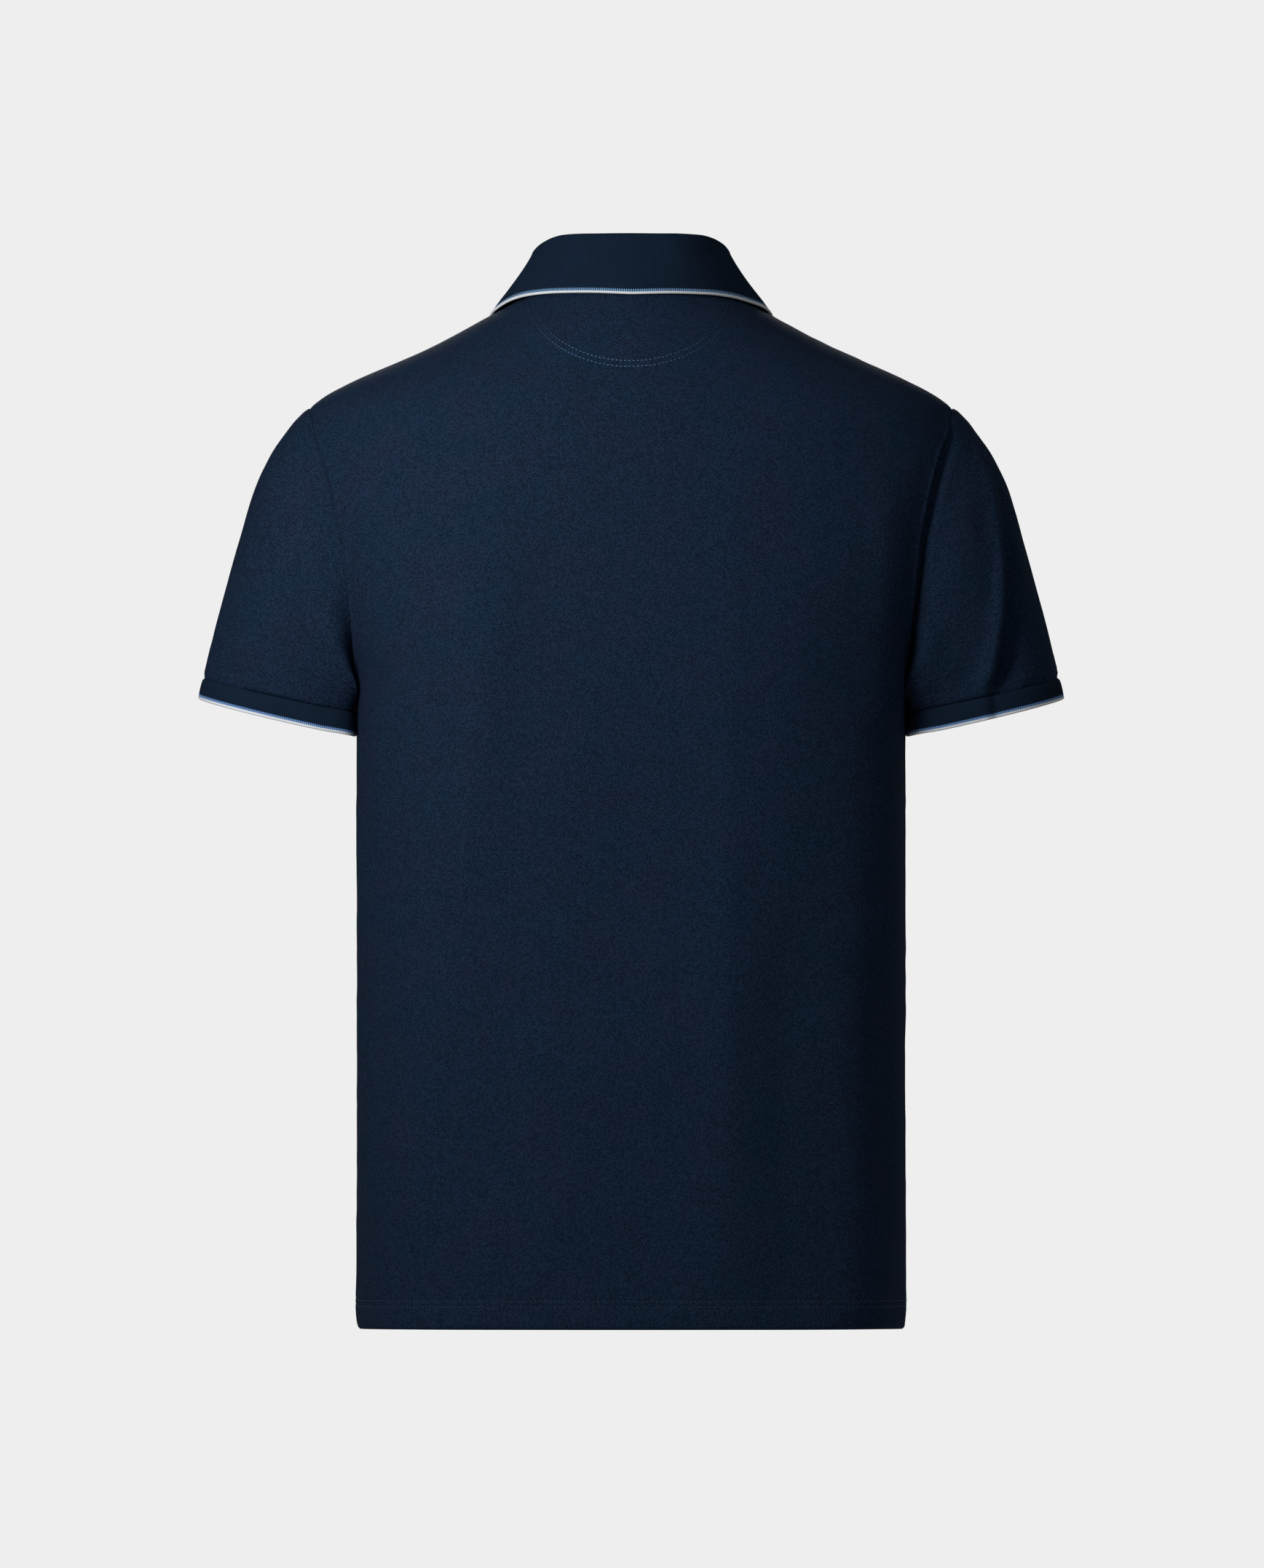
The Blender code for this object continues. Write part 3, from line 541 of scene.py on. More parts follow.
def threadFinish(name, dark, light):
    paint = Paint(name, 0.5, 0.3, 0.05)
    twist = paint.noise(paint.place()[0], 1500.0, 1.0)
    return paint.drive(paint.mix(twist, dark, light), None, twist)


def arcThreadFinish(name, navy, blue):
    # the blue of the arc is clear at its foot and darker towards both tops, and painted brighter towards +X as a
    # painted highlight where the key light falls
    paint = Paint(name, 0.5, 0.2, 0.05)
    where, x, z = paint.place()
    # darker towards both tops, and brighter towards +X as painted light from the key light's side
    low = (1 - paint.clamped(z, -0.034, -0.008)) * (paint.clamped(x, -0.050, 0.010) * 0.75 + 0.25)
    twist = paint.noise(where, 900.0, 2.0)
    return paint.drive(paint.mix(low * (twist + 0.45), navy, blue), None, twist)


print("polo shirt: materials")
pique = piqueKnit("navyPique", piqueFinish)
sleevePique = piqueKnit("sleevePique", piqueFinish)
collarRib = ribKnit("collarRib", collarFinish)
cuffRib = ribKnit("cuffRib", cuffFinish)
navyThread = threadFinish("navyThread", (0.007, 0.014, 0.030), (0.022, 0.042, 0.085))
blueThread = arcThreadFinish("blueThread", (0.009, 0.019, 0.040), (0.075, 0.160, 0.300))

hemFacts = {"lines": (0.0155, 0.0195), "double": 0.0026, "roll": 0.0030}
# the half ellipses of the two rows of stitches, and the cloth behind them
neckPatch = {
    "centre": (0.0005, 0.012),
    "outer": (0.0714, 0.0517),
    "inner": (0.0674, 0.0477),
    "cloth": (0.0725, 0.0535),
    "thick": 0.0010,
}
panelRows = {"hem": 20, "hemHeight": 0.024, "body": 134, "armhole": 75, "shoulder": 43, "columns": 78}
placket = {"width": 0.034, "proud": 0.0007, "slitColumns": 4, "underWider": 0.004, "underRows": 2, "underGap": 0.001}
edgeShares = (0.0, 0.0035, 0.0075, 0.0125, 0.0185, 0.026)
slitShares = (0.25, 0.5, 0.75, 0.92, 1.0)
threadFacts = {"pitch": 0.0033, "length": 0.0026, "radius": 0.00034}
arcFacts = {**threadFacts, "pitch": 0.0029, "length": 0.0018}

panelFinish = {
    "uneven": ((0.00045, 0.050), (0.00016, 0.019)),  # height, size
    # height, distance from the edge, width
    "armholeRidge": (0.0009, 0.0010, 0.0012),
    "armholePuckers": (0.00045, 0.009, 0.004),
    "seamGroove": (0.0010, 0.0, 0.0013),
    "seamPuckers": (0.00035, 0.0045, 0.003),
    "hemEdge": (0.00035, 0.008, 0.007),
    # depth, how much deeper at each stitch, width
    "hemGroove": (0.00042, 0.00016, 0.0009),
    "arcGroove": (0.00030, 0.00012, 0.0008),
    "arcApart": 0.0040,
    "hemRipple": 0.00030,
    "hemWave": 0.0009,
    "patchRise": 0.00022,
    "patchRipple": 0.00018,
}

# small creases, in the same columns as the folds
backCreases = (
    (-0.071, -0.060, -0.066, -0.640, 0.003, 0.010, 0.0009),
    (0.064, -0.100, 0.118, -0.420, 0.004, 0.011, 0.0008),
    (0.104, -0.300, 0.140, -0.690, -0.004, 0.010, -0.0008),
    (0.030, -0.560, 0.078, -0.684, 0.002, 0.012, 0.0009),
    (-0.130, -0.520, -0.134, -0.690, 0.000, 0.012, -0.0008),
    (-0.020, -0.300, -0.012, -0.560, 0.003, 0.014, 0.0006),
    (0.165, -0.300, 0.172, -0.600, 0.002, 0.009, -0.0010),
    (-0.166, -0.330, -0.170, -0.640, -0.002, 0.009, -0.0011),
)
frontCreases = (
    (0.060, -0.240, 0.050, -0.660, 0.004, 0.012, 0.0009),
    (-0.070, -0.200, -0.060, -0.600, -0.004, 0.012, 0.0009),
    (-0.120, -0.420, -0.112, -0.690, 0.003, 0.011, -0.0009),
    (0.020, -0.420, 0.024, -0.690, 0.000, 0.014, 0.0007),
    (0.160, -0.300, 0.168, -0.640, 0.002, 0.009, -0.0010),
    (-0.162, -0.300, -0.168, -0.600, -0.002, 0.009, -0.0010),
)


def levelRows():
    # heights of a panel's rows at its side, hem to neck, with the armhole's angle where there is one
    hem, underarm = torsoForm["hem"], torsoForm["underarm"]
    hemTop = hem + panelRows["hemHeight"]
    low = np.linspace(hem, hemTop, panelRows["hem"] + 1)[:-1]
    body = np.linspace(hemTop, underarm, panelRows["body"] + 1)[:-1]
    angles = np.linspace(math.pi, 0, panelRows["armhole"])
    shoulder = np.linspace(torsoForm["shoulderTip"], torsoForm["neckSide"], panelRows["shoulder"])[1:]
    heights = np.concatenate([low, body, armholeHeight(angles), shoulder])
    edges = {side: np.abs(armholeTurn(angles, side)) for side in (1, -1)}
    return heights, {side: np.concatenate([0 * low, 0 * body, edges[side], 0 * shoulder]) for side in edges}


sideHeights, sideEdges = levelRows()
levels = (sideHeights - torsoForm["hem"]) / (torsoForm["neckSide"] - torsoForm["hem"])


def columnHeights(turnTop):
    # heights of all rows in the column that ends on the neckline at this turn
    hem, squareness = torsoForm["hem"], torsoForm["rings"][-1][4]
    drop = torsoForm["sideDrop"] * (1 - np.abs(np.sin(turnTop)) ** (2 / squareness))
    lift, near = torsoForm["corner"]
    drop = drop - lift * (1 - ease(np.abs(np.sin(turnTop)), 0, near))
    return hem + levels * (necklineZ(turnTop) - hem) - drop * (1 - ease(levels, 0, torsoForm["dropEase"]))


def heightsAtX(x):
    # rows of the front column that keeps this x all the way up
    top = torsoForm["neckSide"] - neckline["frontDrop"]
    for _ in range(8):
        top = float(necklineZ(turnAtX(x, top, -1)))
    return torsoForm["hem"] + levels * (top - torsoForm["hem"])


def panelGrid(side):
    quarter = math.pi / 2
    reach = 0.90 if side < 0 else 1.0
    shares = np.concatenate([edgeShares, np.linspace(0.036, reach, panelRows["columns"])])
    turns, heights = [], []
    for share in shares:
        heights.append(columnHeights(side * share * quarter))
        turns.append(side * (sideEdges[side] + share * (quarter - sideEdges[side])))
    if side < 0:
        slit = placket["width"] / 2 + knit["seam"]
        slitHeights = heightsAtX(slit)
        slitTurns = turnAtX(slit, slitHeights, side)
        fromHeights, fromTurns = heights[-1], turns[-1]
        for part in slitShares:
            heights.append(fromHeights + (slitHeights - fromHeights) * part)
            turns.append(fromTurns + (slitTurns - fromTurns) * part)
        for part in np.linspace(1, 0, placket["slitColumns"] + 1)[1:]:
            heights.append(heightsAtX(slit * part + 1e-6))
            turns.append(turnAtX(slit * part, heights[-1], side))
    turns, heights = np.array(turns).T, np.array(heights).T
    turns = np.concatenate([turns, side * math.pi - turns[:, -2::-1]], axis=1)
    return turns, np.concatenate([heights, heights[:, -2::-1]], axis=1)


def edgeDistance(points, edge, near):
    # distance of the grid's first columns from its side edge, whose points are drawn closer together
    fine = placesAlong(np.linspace(0, len(edge) - 1, len(edge) * 6), np.arange(len(edge)), edge)
    found = np.full(points.shape[:2], 1.0)
    part = points[:, :near].reshape(-1, 3)
    for start in range(0, len(part), 2000):
        block = part[start : start + 2000]
        gaps = ((block[:, None] - fine[None]) ** 2).sum(-1).min(1)
        index = np.arange(start, start + len(block))
        found[index // near, index % near] = np.sqrt(gaps)
    return found


def ellipseDistance(x, z, centre, half):
    a, b = (x - centre[0]) / half[0], (z - centre[1]) / half[1]
    reach = np.sqrt(a * a + b * b) + 1e-9
    slope = np.sqrt((a / half[0]) ** 2 + (b / half[1]) ** 2) / reach
    return (reach - 1) / np.maximum(slope, 1e-6)


def stitchedGroove(distance, u, depth, dent, width):
    # a groove along a row of stitches, deeper at each of them
    return (depth + dent * np.cos(u * (2 * math.pi / threadFacts["pitch"]))) * hump(distance, width)


def hemThickness(up):
    # the cloth lies double from the hem up to its higher row of stitches
    top = hemFacts["lines"][1]
    doubled = 1 - ease(up, top + 0.0005, top + 0.0018)
    return knit["wall"] + (hemFacts["double"] - knit["wall"]) * doubled


def panelRelief(side, turns, heights, base):
    x, z = base[..., 0], base[..., 2]
    u = alongRows(base, 1)
    u = u - u[:, u.shape[1] // 2][:, None]
    away = ease(np.abs(np.sin(turns)), 0.05, 0.35)
    relief = foldHeight(x, z, backCreases if side > 0 else frontCreases) * away
    seed = 11 if side > 0 else 23
    for step, (height, size) in enumerate(panelFinish["uneven"]):
        relief += height * softNoise(u, z, size, seed + step)
    # seams: distance from the left and the right edge
    near = 16
    gap = np.minimum(edgeDistance(base, base[:, 0], near), edgeDistance(base[:, ::-1], base[:, -1], near)[:, ::-1])
    onArmhole = ((sideEdges[side] > 1e-6).astype(float))[:, None]
    puckers = 0.5 + 0.5 * softNoise(z + x, u * 0 + 3, 0.011, seed + 2)
    fromTip = ease(torsoForm["shoulderTip"] - z, 0.004, 0.022)
    relief += onArmhole * fromTip * ridge(gap, panelFinish["armholeRidge"])
    # the side seam closes up under the arm, where the sleeve lies on it
    onSide, onShoulder = 0.15 + 0.85 * ease(-z, 0.300, 0.335), ease(z - torsoForm["shoulderTip"], 0.0005, 0.009)
    seam = puckers * ridge(gap, panelFinish["seamPuckers"]) - ridge(gap, panelFinish["seamGroove"])
    relief += (1 - onArmhole) * np.where(z < -0.15, onSide, onShoulder) * seam
    relief -= onArmhole * puckers * ridge(gap, panelFinish["armholePuckers"])
    # hem: two stitched grooves with small puckers above them, and a fuller folded edge
    up = heights - heights[:1]
    ripple = softNoise(u, up * 0.4, 0.0085, seed + 3)
    for line in hemFacts["lines"]:
        relief -= stitchedGroove(up - line, u, *panelFinish["hemGroove"])
    relief += panelFinish["hemRipple"] * ripple * ease(up, 0.004, 0.014) * (1 - ease(up, 0.020, 0.036))
    relief += ridge(up, panelFinish["hemEdge"])
    relief += panelFinish["hemWave"] * softNoise(u, up * 0.1, 0.045, seed + 4) * (1 - ease(up, 0.02, 0.10))
    if side > 0:
        ring = ellipseDistance(x, z, neckPatch["centre"], neckPatch["outer"])
        between = panelFinish["arcApart"]
        for line in (0.0, -between):
            relief -= stitchedGroove(ring - line, u, *panelFinish["arcGroove"])
        relief += 0.00016 * hump(ring + between / 2, 0.0011)
        relief += panelFinish["patchRise"] * (1 - ease(ring, -0.001, 0.0015))
        relief += panelFinish["patchRipple"] * softNoise(u * 2, z * 2, 0.013, 77) * hump(ring + 0.002, 0.006)
    return relief, u


def makePanel(side, name, node, material):
    turns, heights = panelGrid(side)
    base = torso(turns, heights)
    normal = torsoNormal(turns, heights)
    relief, u = panelRelief(side, turns, heights, base)
    up = heights - heights[:1]
    outer = base + normal * relief[..., None]
    inner = base - normal * (hemThickness(up) - 0.35 * relief)[..., None]
    seamed = sideEdges[side] < 1e-6
    for points in (outer, inner):
        for edge in (0, -1):
            points[seamed, edge, 1] += side * knit["seam"] / 2
    outer, inner = rollEdge(outer, inner, up, hemFacts["roll"])
    keep = None
    if side < 0:
        keep = np.ones((outer.shape[0] - 1, outer.shape[1] - 1), bool)
        middle, reach = outer.shape[1] // 2, placket["slitColumns"]
        keep[placketRow():, middle - reach : middle + reach] = False
    v = alongRows(base, 0)
    piece = knitShell(name, outer, inner, (u, v), material, keep=keep)
    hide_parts(node)
    return piece, {"up": up, "outer": outer, "normal": normal}


def placketRow():
    middle = columnHeights(-math.pi / 2)
    return int(np.argmin(np.abs(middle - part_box("placket_top")[0][2])))


print("polo shirt: panels")
backPanel, backGrid = makePanel(1, "backPanel", "back", pique)
frontPanel, frontGrid = makePanel(-1, "frontPanel", "front", pique)


def surfacePoint(side, turns, heights, lift=0.0):
    # places on a panel, with the panel's own folds and creases under them
    base = torso(turns, heights)
    normal = torsoNormal(turns, heights)
    folds = backCreases if side > 0 else frontCreases
    away = ease(np.abs(np.sin(turns)), 0.05, 0.35)
    relief = foldHeight(base[..., 0], base[..., 2], folds) * away
    return base + normal * (relief + lift)[..., None], normal


def nearestOn(grid, x, z):
    # the finished panel's surface under a point seen from the back or front
    flat, normals = grid["outer"].reshape(-1, 3), grid["normal"].reshape(-1, 3)
    points, found = [], []
    for px, pz in zip(x, z):
        gaps = (flat[:, 0] - px) ** 2 + (flat[:, 2] - pz) ** 2
        best = np.argpartition(gaps, 6)[:6]
        weight = 1 / (gaps[best] + 1e-8)
        weight = (weight / weight.sum())[:, None]
        near, normal = (flat[best] * weight).sum(0), unit((normals[best] * weight).sum(0))
        tilt = normal[0] * (px - near[0]) + normal[2] * (pz - near[2])
        points.append((px, near[1] - tilt / normal[1], pz))
        found.append(normal)
    return np.array(points), np.array(found)


hemAtSide = torsoForm["hem"] - torsoForm["sideDrop"]
seamTape = {
    "reach": 0.005,
    "clear": 0.0006,
    "thick": 0.0005,
    # how far its ends stay from the hem, the underarm, the shoulder tip and the neck
    "hemClear": 0.003,
    "armClear": 0.0055,
    "tipClear": 0.0033,
    "neckClear": 0.0012,
}


def insideTape(name, heights, across, material):
    # a narrow strip sewn over a seam on the inside, from hem to underarm or over a shoulder
    outer, inner = [], []
    deep = hemThickness(heights - hemAtSide) + seamTape["clear"]
    for share in np.linspace(-1, 1, 7):
        turns = turnAtDepth(abs(share) * seamTape["reach"], heights, 1 if share >= 0 else -1)
        turns = turns if across > 0 else math.pi - turns
        out = torsoNormal(turns, heights)
        outer.append(torso(turns, heights) - out * deep[:, None])
        inner.append(outer[-1] - out * seamTape["thick"])
    outer, inner = np.array(outer), np.array(inner)
    piece = knitShell(name, outer, inner, (alongRows(outer, 0), alongRows(outer, 1)), material)
    return piece


print("polo shirt: seam tapes")
sideRun = np.linspace(hemAtSide + seamTape["hemClear"], torsoForm["underarm"] - seamTape["armClear"], 90)
shoulderRun = np.linspace(
    torsoForm["shoulderTip"] + seamTape["tipClear"], torsoForm["neckSide"] - seamTape["neckClear"], 30
)
tapes = [
    insideTape(f"{place}Tape{label}", run, across, pique)
    for place, run in (("sideSeam", sideRun), ("shoulderSeam", shoulderRun))
    for label, across in (("Left", 1), ("Right", -1))
]


def hemStitches(name, grid, material):
    rows = []
    up, outer = grid["up"], grid["outer"]
    for line in hemFacts["lines"]:
        lower, column = (up <= line).sum(axis=0) - 1, np.arange(up.shape[1])
        share = ((line - up[lower, column]) / (up[lower + 1, column] - up[lower, column]))[:, None]
        points = outer[lower, column] * (1 - share) + outer[lower + 1, column] * share
        rows.append(stitchRow(points, grid["normal"][lower, column], {**threadFacts, "radius": 0.00030}))
    return stitchPiece(name, rows, material)


print("polo shirt: stitches")
backHemThread = hemStitches("backHemStitches", backGrid, navyThread)
frontHemThread = hemStitches("frontHemStitches", frontGrid, navyThread)


def patchStitches():
    rows = []
    turns = np.linspace(math.radians(8), math.radians(172), 150)
    for half in ("outer", "inner"):
        (x, z), (halfWidth, drop) = neckPatch["centre"], neckPatch[half]
        points, normals = nearestOn(backGrid, x + halfWidth * np.cos(turns), z - drop * np.sin(turns))
        rows.append(stitchRow(points, normals, arcFacts))
    return stitchPiece("neckPatchStitches", rows, blueThread)


patchThread = patchStitches()

sleeveForm = {
    # along, outer x, outer z, inner x, inner z, back, front
    "sections": (
        (0.00, 0.2205, -0.0660, 0.1900, -0.2620, 0.0670, 0.0680),
        (0.05, 0.2285, -0.0722, 0.1901, -0.2630, 0.0635, 0.0650),
        (0.12, 0.2375, -0.0830, 0.1901, -0.2645, 0.0635, 0.0640),
        (0.22, 0.2478, -0.0980, 0.1900, -0.2660, 0.0640, 0.0640),
        (0.36, 0.2592, -0.1230, 0.1898, -0.2680, 0.0625, 0.0625),
        (0.52, 0.2686, -0.1550, 0.1897, -0.2695, 0.0595, 0.0600),
        (0.68, 0.2771, -0.1850, 0.1894, -0.2710, 0.0565, 0.0565),
        (0.84, 0.2855, -0.2160, 0.1891, -0.2720, 0.0530, 0.0530),
        (1.00, 0.2937, -0.2498, 0.1888, -0.2730, 0.0500, 0.0500),
    ),
    "cuffBottom": (0.2972, -0.2650, 0.1887, -0.2905, 0.0505, 0.0505),
    "innerSquareness": 3.6,  # how flat the sleeve lies against the body, 2 is round
    # the middle line that the sleeve's grain runs down, and the oval that it is wound round
    "grain": {"centre": (0.2055, -0.1640), "down": (0.347, -0.938), "across": 0.050, "depth": 0.060, "radius": 0.055},
    "sag": 0.0022,
    # turn at the top, turn at the cuff, start, end, width to the body's side and away from it, height
    "folds": {
        "leftSleeve": ((0.70, 1.05, 0.10, 1.00, 0.30, 0.30, 0.0012),),
        "rightSleeve": (
            (0.15, 1.50, 0.08, 1.05, 0.070, 0.24, -0.0090),
            (0.29, 1.66, 0.08, 1.05, 0.17, 0.075, 0.0060),
            (2.10, 2.35, 0.20, 1.00, 0.16, 0.16, 0.0010),
        ),
    },
    # depth of the ditch beside the armhole seam at the middle of the back, and its width
    "ditch": {"leftSleeve": (0.0024, 0.0019), "rightSleeve": (0.0066, 0.0048)},
    "ditchEnds": -0.0003,
    "uneven": ((0.0005, 0.035), (0.00016, 0.014)),  # height, size
    "seeds": {"leftSleeve": 37, "rightSleeve": 51},
    "gathers": {"leftSleeve": 0.00025, "rightSleeve": 0.00075},  # above the cuff
    # height, distance from the edge, width
    "besideSeam": (0.0004, 0.012, 0.006),
    "fullTip": (0.0009, 0.0040, 0.0038),
    "cuffGroove": (0.0011, 0.0, 0.0011),
    "cuffEdge": (0.00018, 0.0010, 0.0010),
    "cuffBulge": 0.00045,
    # what is sewn in: its rows' reach behind the body, their place on the grain, and the cuff's rows in the sleeve
    "allowance": {
        "reaches": (0.005, 0.0025, -0.0005),
        "grainSteps": (0.0072, 0.0046, 0.0018),
        "cuffRows": (0.972, 0.988, 1.0),
        "clear": 0.00045,
        "thick": 0.0006,
        "cuffClear": 0.0013,
    },
    "firstRows": (0, 0.006, 0.012, 0.02, 0.03, 0.042),
    "rows": 60,
    "halfRing": 56,
    "cuffRows": (0.07, 0.14, 0.25, 0.38, 0.50, 0.62, 0.72, 0.80, 0.86, 0.91, 0.95, 0.98, 1.0),
}
sleeveCurves = smoothColumns(sleeveForm["sections"])


def ringNormals(local):
    along = np.roll(local, -1, axis=0) - np.roll(local, 1, axis=0)
    return unit(np.stack([along[:, 1], -along[:, 0]], axis=-1))


def sleeveSection(place, angles, egg, sag, folds, along):
    # one slanted section of a sleeve: its points, long axis and outward normals
    outerPoint, innerPoint = np.array([place[0], 0, place[1]]), np.array([place[2], 0, place[3]])
    middle, half = (outerPoint + innerPoint) / 2, (outerPoint - innerPoint) / 2
    reach = np.linalg.norm(half)
    depth = np.where(np.sin(angles) >= 0, place[4], place[5])
    cosine, sine = np.cos(angles), np.sin(angles)
    settled = ease(along, 0.0, 0.35)
    power = 2 + (sleeveForm["innerSquareness"] - 2) * settled
    fuller = np.where(cosine < 0, (np.abs(cosine) ** power + np.abs(sine) ** power) ** (-1 / power), 1)
    local = np.stack([reach * cosine * fuller, depth * sine * fuller * (1 - egg * cosine)], axis=-1)
    height = np.zeros(len(angles))
    for turnTop, turnBottom, start, end, bodyWidth, farWidth, rise in folds:
        part = np.clip((along - start) / (end - start), 0, 1)
        centre = turnTop + (turnBottom - turnTop) * part
        width = np.where(angles > centre, bodyWidth, farWidth)
        fade = math.sin(math.pi * min(part, 0.6) / 1.2) * (1 - 0.75 * ease(along, 0.88, 1.0))
        height += rise * fade * hump(angles - centre, width)
    local = local + ringNormals(local) * height[:, None]
    axis = half / reach
    points = middle + local[:, :1] * axis + local[:, 1:] * np.array([0, 1, 0])
    points[:, 2] -= sag * np.clip(sine, 0, 1)
    # the inner side bends with the body that it hangs against
    level, deep = points[:, 2], np.where(sine >= 0, backAt(points[:, 2]), frontAt(points[:, 2]))
    bodyShare = (1 - np.clip(np.abs(points[:, 1]) / deep, 0, 0.9) ** squarenessAt(level)) ** (1 / squarenessAt(level))
    points[:, 0] -= halfWidthAt(level) * (1 - bodyShare) * ease(-cosine * fuller, 0.55, 0.92) * settled
    flat = ringNormals(local)
    return points, axis, flat[:, :1] * axis + flat[:, 1:] * np.array([0, 1, 0])


def armholeLoop(angles):
    # the armhole's edge on the body, with the body's outward normals
    points, normals = [], []
    for angle in angles:
        side = 1 if angle <= math.pi else -1
        fromTop = angle if side > 0 else 2 * math.pi - angle
        place = armholeTurn(fromTop, side), armholeHeight(fromTop)
        points.append(torso(*place))
        normals.append(torsoNormal(*place))
    return np.array(points), np.array(normals)


def sewnInside(loop, bodyNormals):
    # the sleeve's seam allowance, turned in behind the edge of the body
    facts = sleeveForm["allowance"]
    tangent = np.roll(loop, -1, axis=0) - np.roll(loop, 1, axis=0)
    away = unit(np.cross(tangent, bodyNormals))
    away *= np.sign(((loop - loop.mean(axis=0)) * away).sum(-1, keepdims=True))
    behind = loop - bodyNormals * (knit["wall"] + facts["clear"])
    outer = np.array([behind + away * reach for reach in facts["reaches"]])
    return outer, outer - bodyNormals * facts["thick"]


def makeSleeve(name, node, flip, material):
    down = np.linspace(0, math.pi, sleeveForm["halfRing"] + 1)
    angles = np.concatenate([down[:-1], down[:-1] + math.pi])
    start, _, _ = sleeveSection(sleeveForm["sections"][0][1:], angles, armhole["egg"], 0, (), 0)
    loop, bodyNormals = armholeLoop(angles)
    bow = loop - start
    places = np.concatenate([sleeveForm["firstRows"], np.linspace(0.056, 1, sleeveForm["rows"])])
    base, normals = [], []
    for along in places:
        place, sag = [curve(along) for curve in sleeveCurves], sleeveForm["sag"] * along
        egg = armhole["egg"] * (1 - ease(along, 0, 0.9))
        ring, axis, normal = sleeveSection(place, angles, egg, sag, sleeveForm["folds"][name], along)
        ring += bow * (1 - ease(along, 0, 0.6)) + np.array([axis[2], 0, -axis[0]]) * knit["seam"]
        base.append(ring)
        normals.append(normal)
    base, normals = np.array(base), np.array(normals)
    fromSeam = alongRows(base, 0)
    toCuff = fromSeam[-1:] - fromSeam
    # the grain runs down the sleeve's own middle line
    grain = sleeveForm["grain"]
    (downX, downZ), (centreX, centreZ) = grain["down"], grain["centre"]
    beside = (base[..., 0] - centreX) * -downZ + (base[..., 2] - centreZ) * downX
    u = grain["radius"] * np.arctan2(base[..., 1] / grain["depth"], beside / grain["across"])
    v = (base[..., 0] - centreX) * downX + (base[..., 2] - centreZ) * downZ
    seed = sleeveForm["seeds"][name]
    turn = np.broadcast_to(angles, u.shape)
    # cloth noise has to meet itself round the ring
    aroundX, aroundY = np.cos(turn) * 0.09 + fromSeam * 0.3, np.sin(turn) * 0.09 + fromSeam
    wrap = lambda size, k: softNoise(aroundX, aroundY, size, seed + k)
    relief = sum(height * wrap(size, k) for k, (height, size) in enumerate(sleeveForm["uneven"]))
    top = ease(np.cos(turn), -0.9, -0.3)  # little room for it at the underarm
    relief = relief * top * ease(fromSeam, 0.0, 0.02)
    depth, width = sleeveForm["ditch"][name]
    ends = sleeveForm["ditchEnds"]
    relief -= (ends + (depth - ends) * ease(np.sin(turn), 0.30, 0.85)) * hump(fromSeam - width * 0.35, width)
    relief += ridge(fromSeam, sleeveForm["besideSeam"]) * (0.5 + 0.5 * wrap(0.012, 2)) * top
    relief += ridge(fromSeam, sleeveForm["fullTip"]) * ease(np.cos(turn), 0.6, 0.9)
    gathers = sleeveForm["gathers"][name] * wrap(0.0075, 3)
    relief += gathers * hump(toCuff - 0.006, 0.010) * ease(np.cos(turn), -0.7, 0.4)
    relief -= ridge(toCuff, sleeveForm["cuffGroove"]) * top
    outer = base + normals * relief[..., None]
    inner = base - normals * (knit["wall"] - 0.85 * relief)[..., None]
    sewnOuter, sewnInner = sewnInside(loop, bodyNormals)
    outer, inner = np.concatenate([sewnOuter, outer]), np.concatenate([sewnInner, inner])
    u = np.concatenate([u[:1]] * len(sewnOuter) + [u])
    v = np.concatenate([v[:1] - step for step in sleeveForm["allowance"]["grainSteps"]] + [v])
    if flip:
        outer, inner = outer * (-1, 1, 1), inner * (-1, 1, 1)
    piece = knitShell(name, outer, inner, (u, v), material, closed=True)
    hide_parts(node)
    return piece


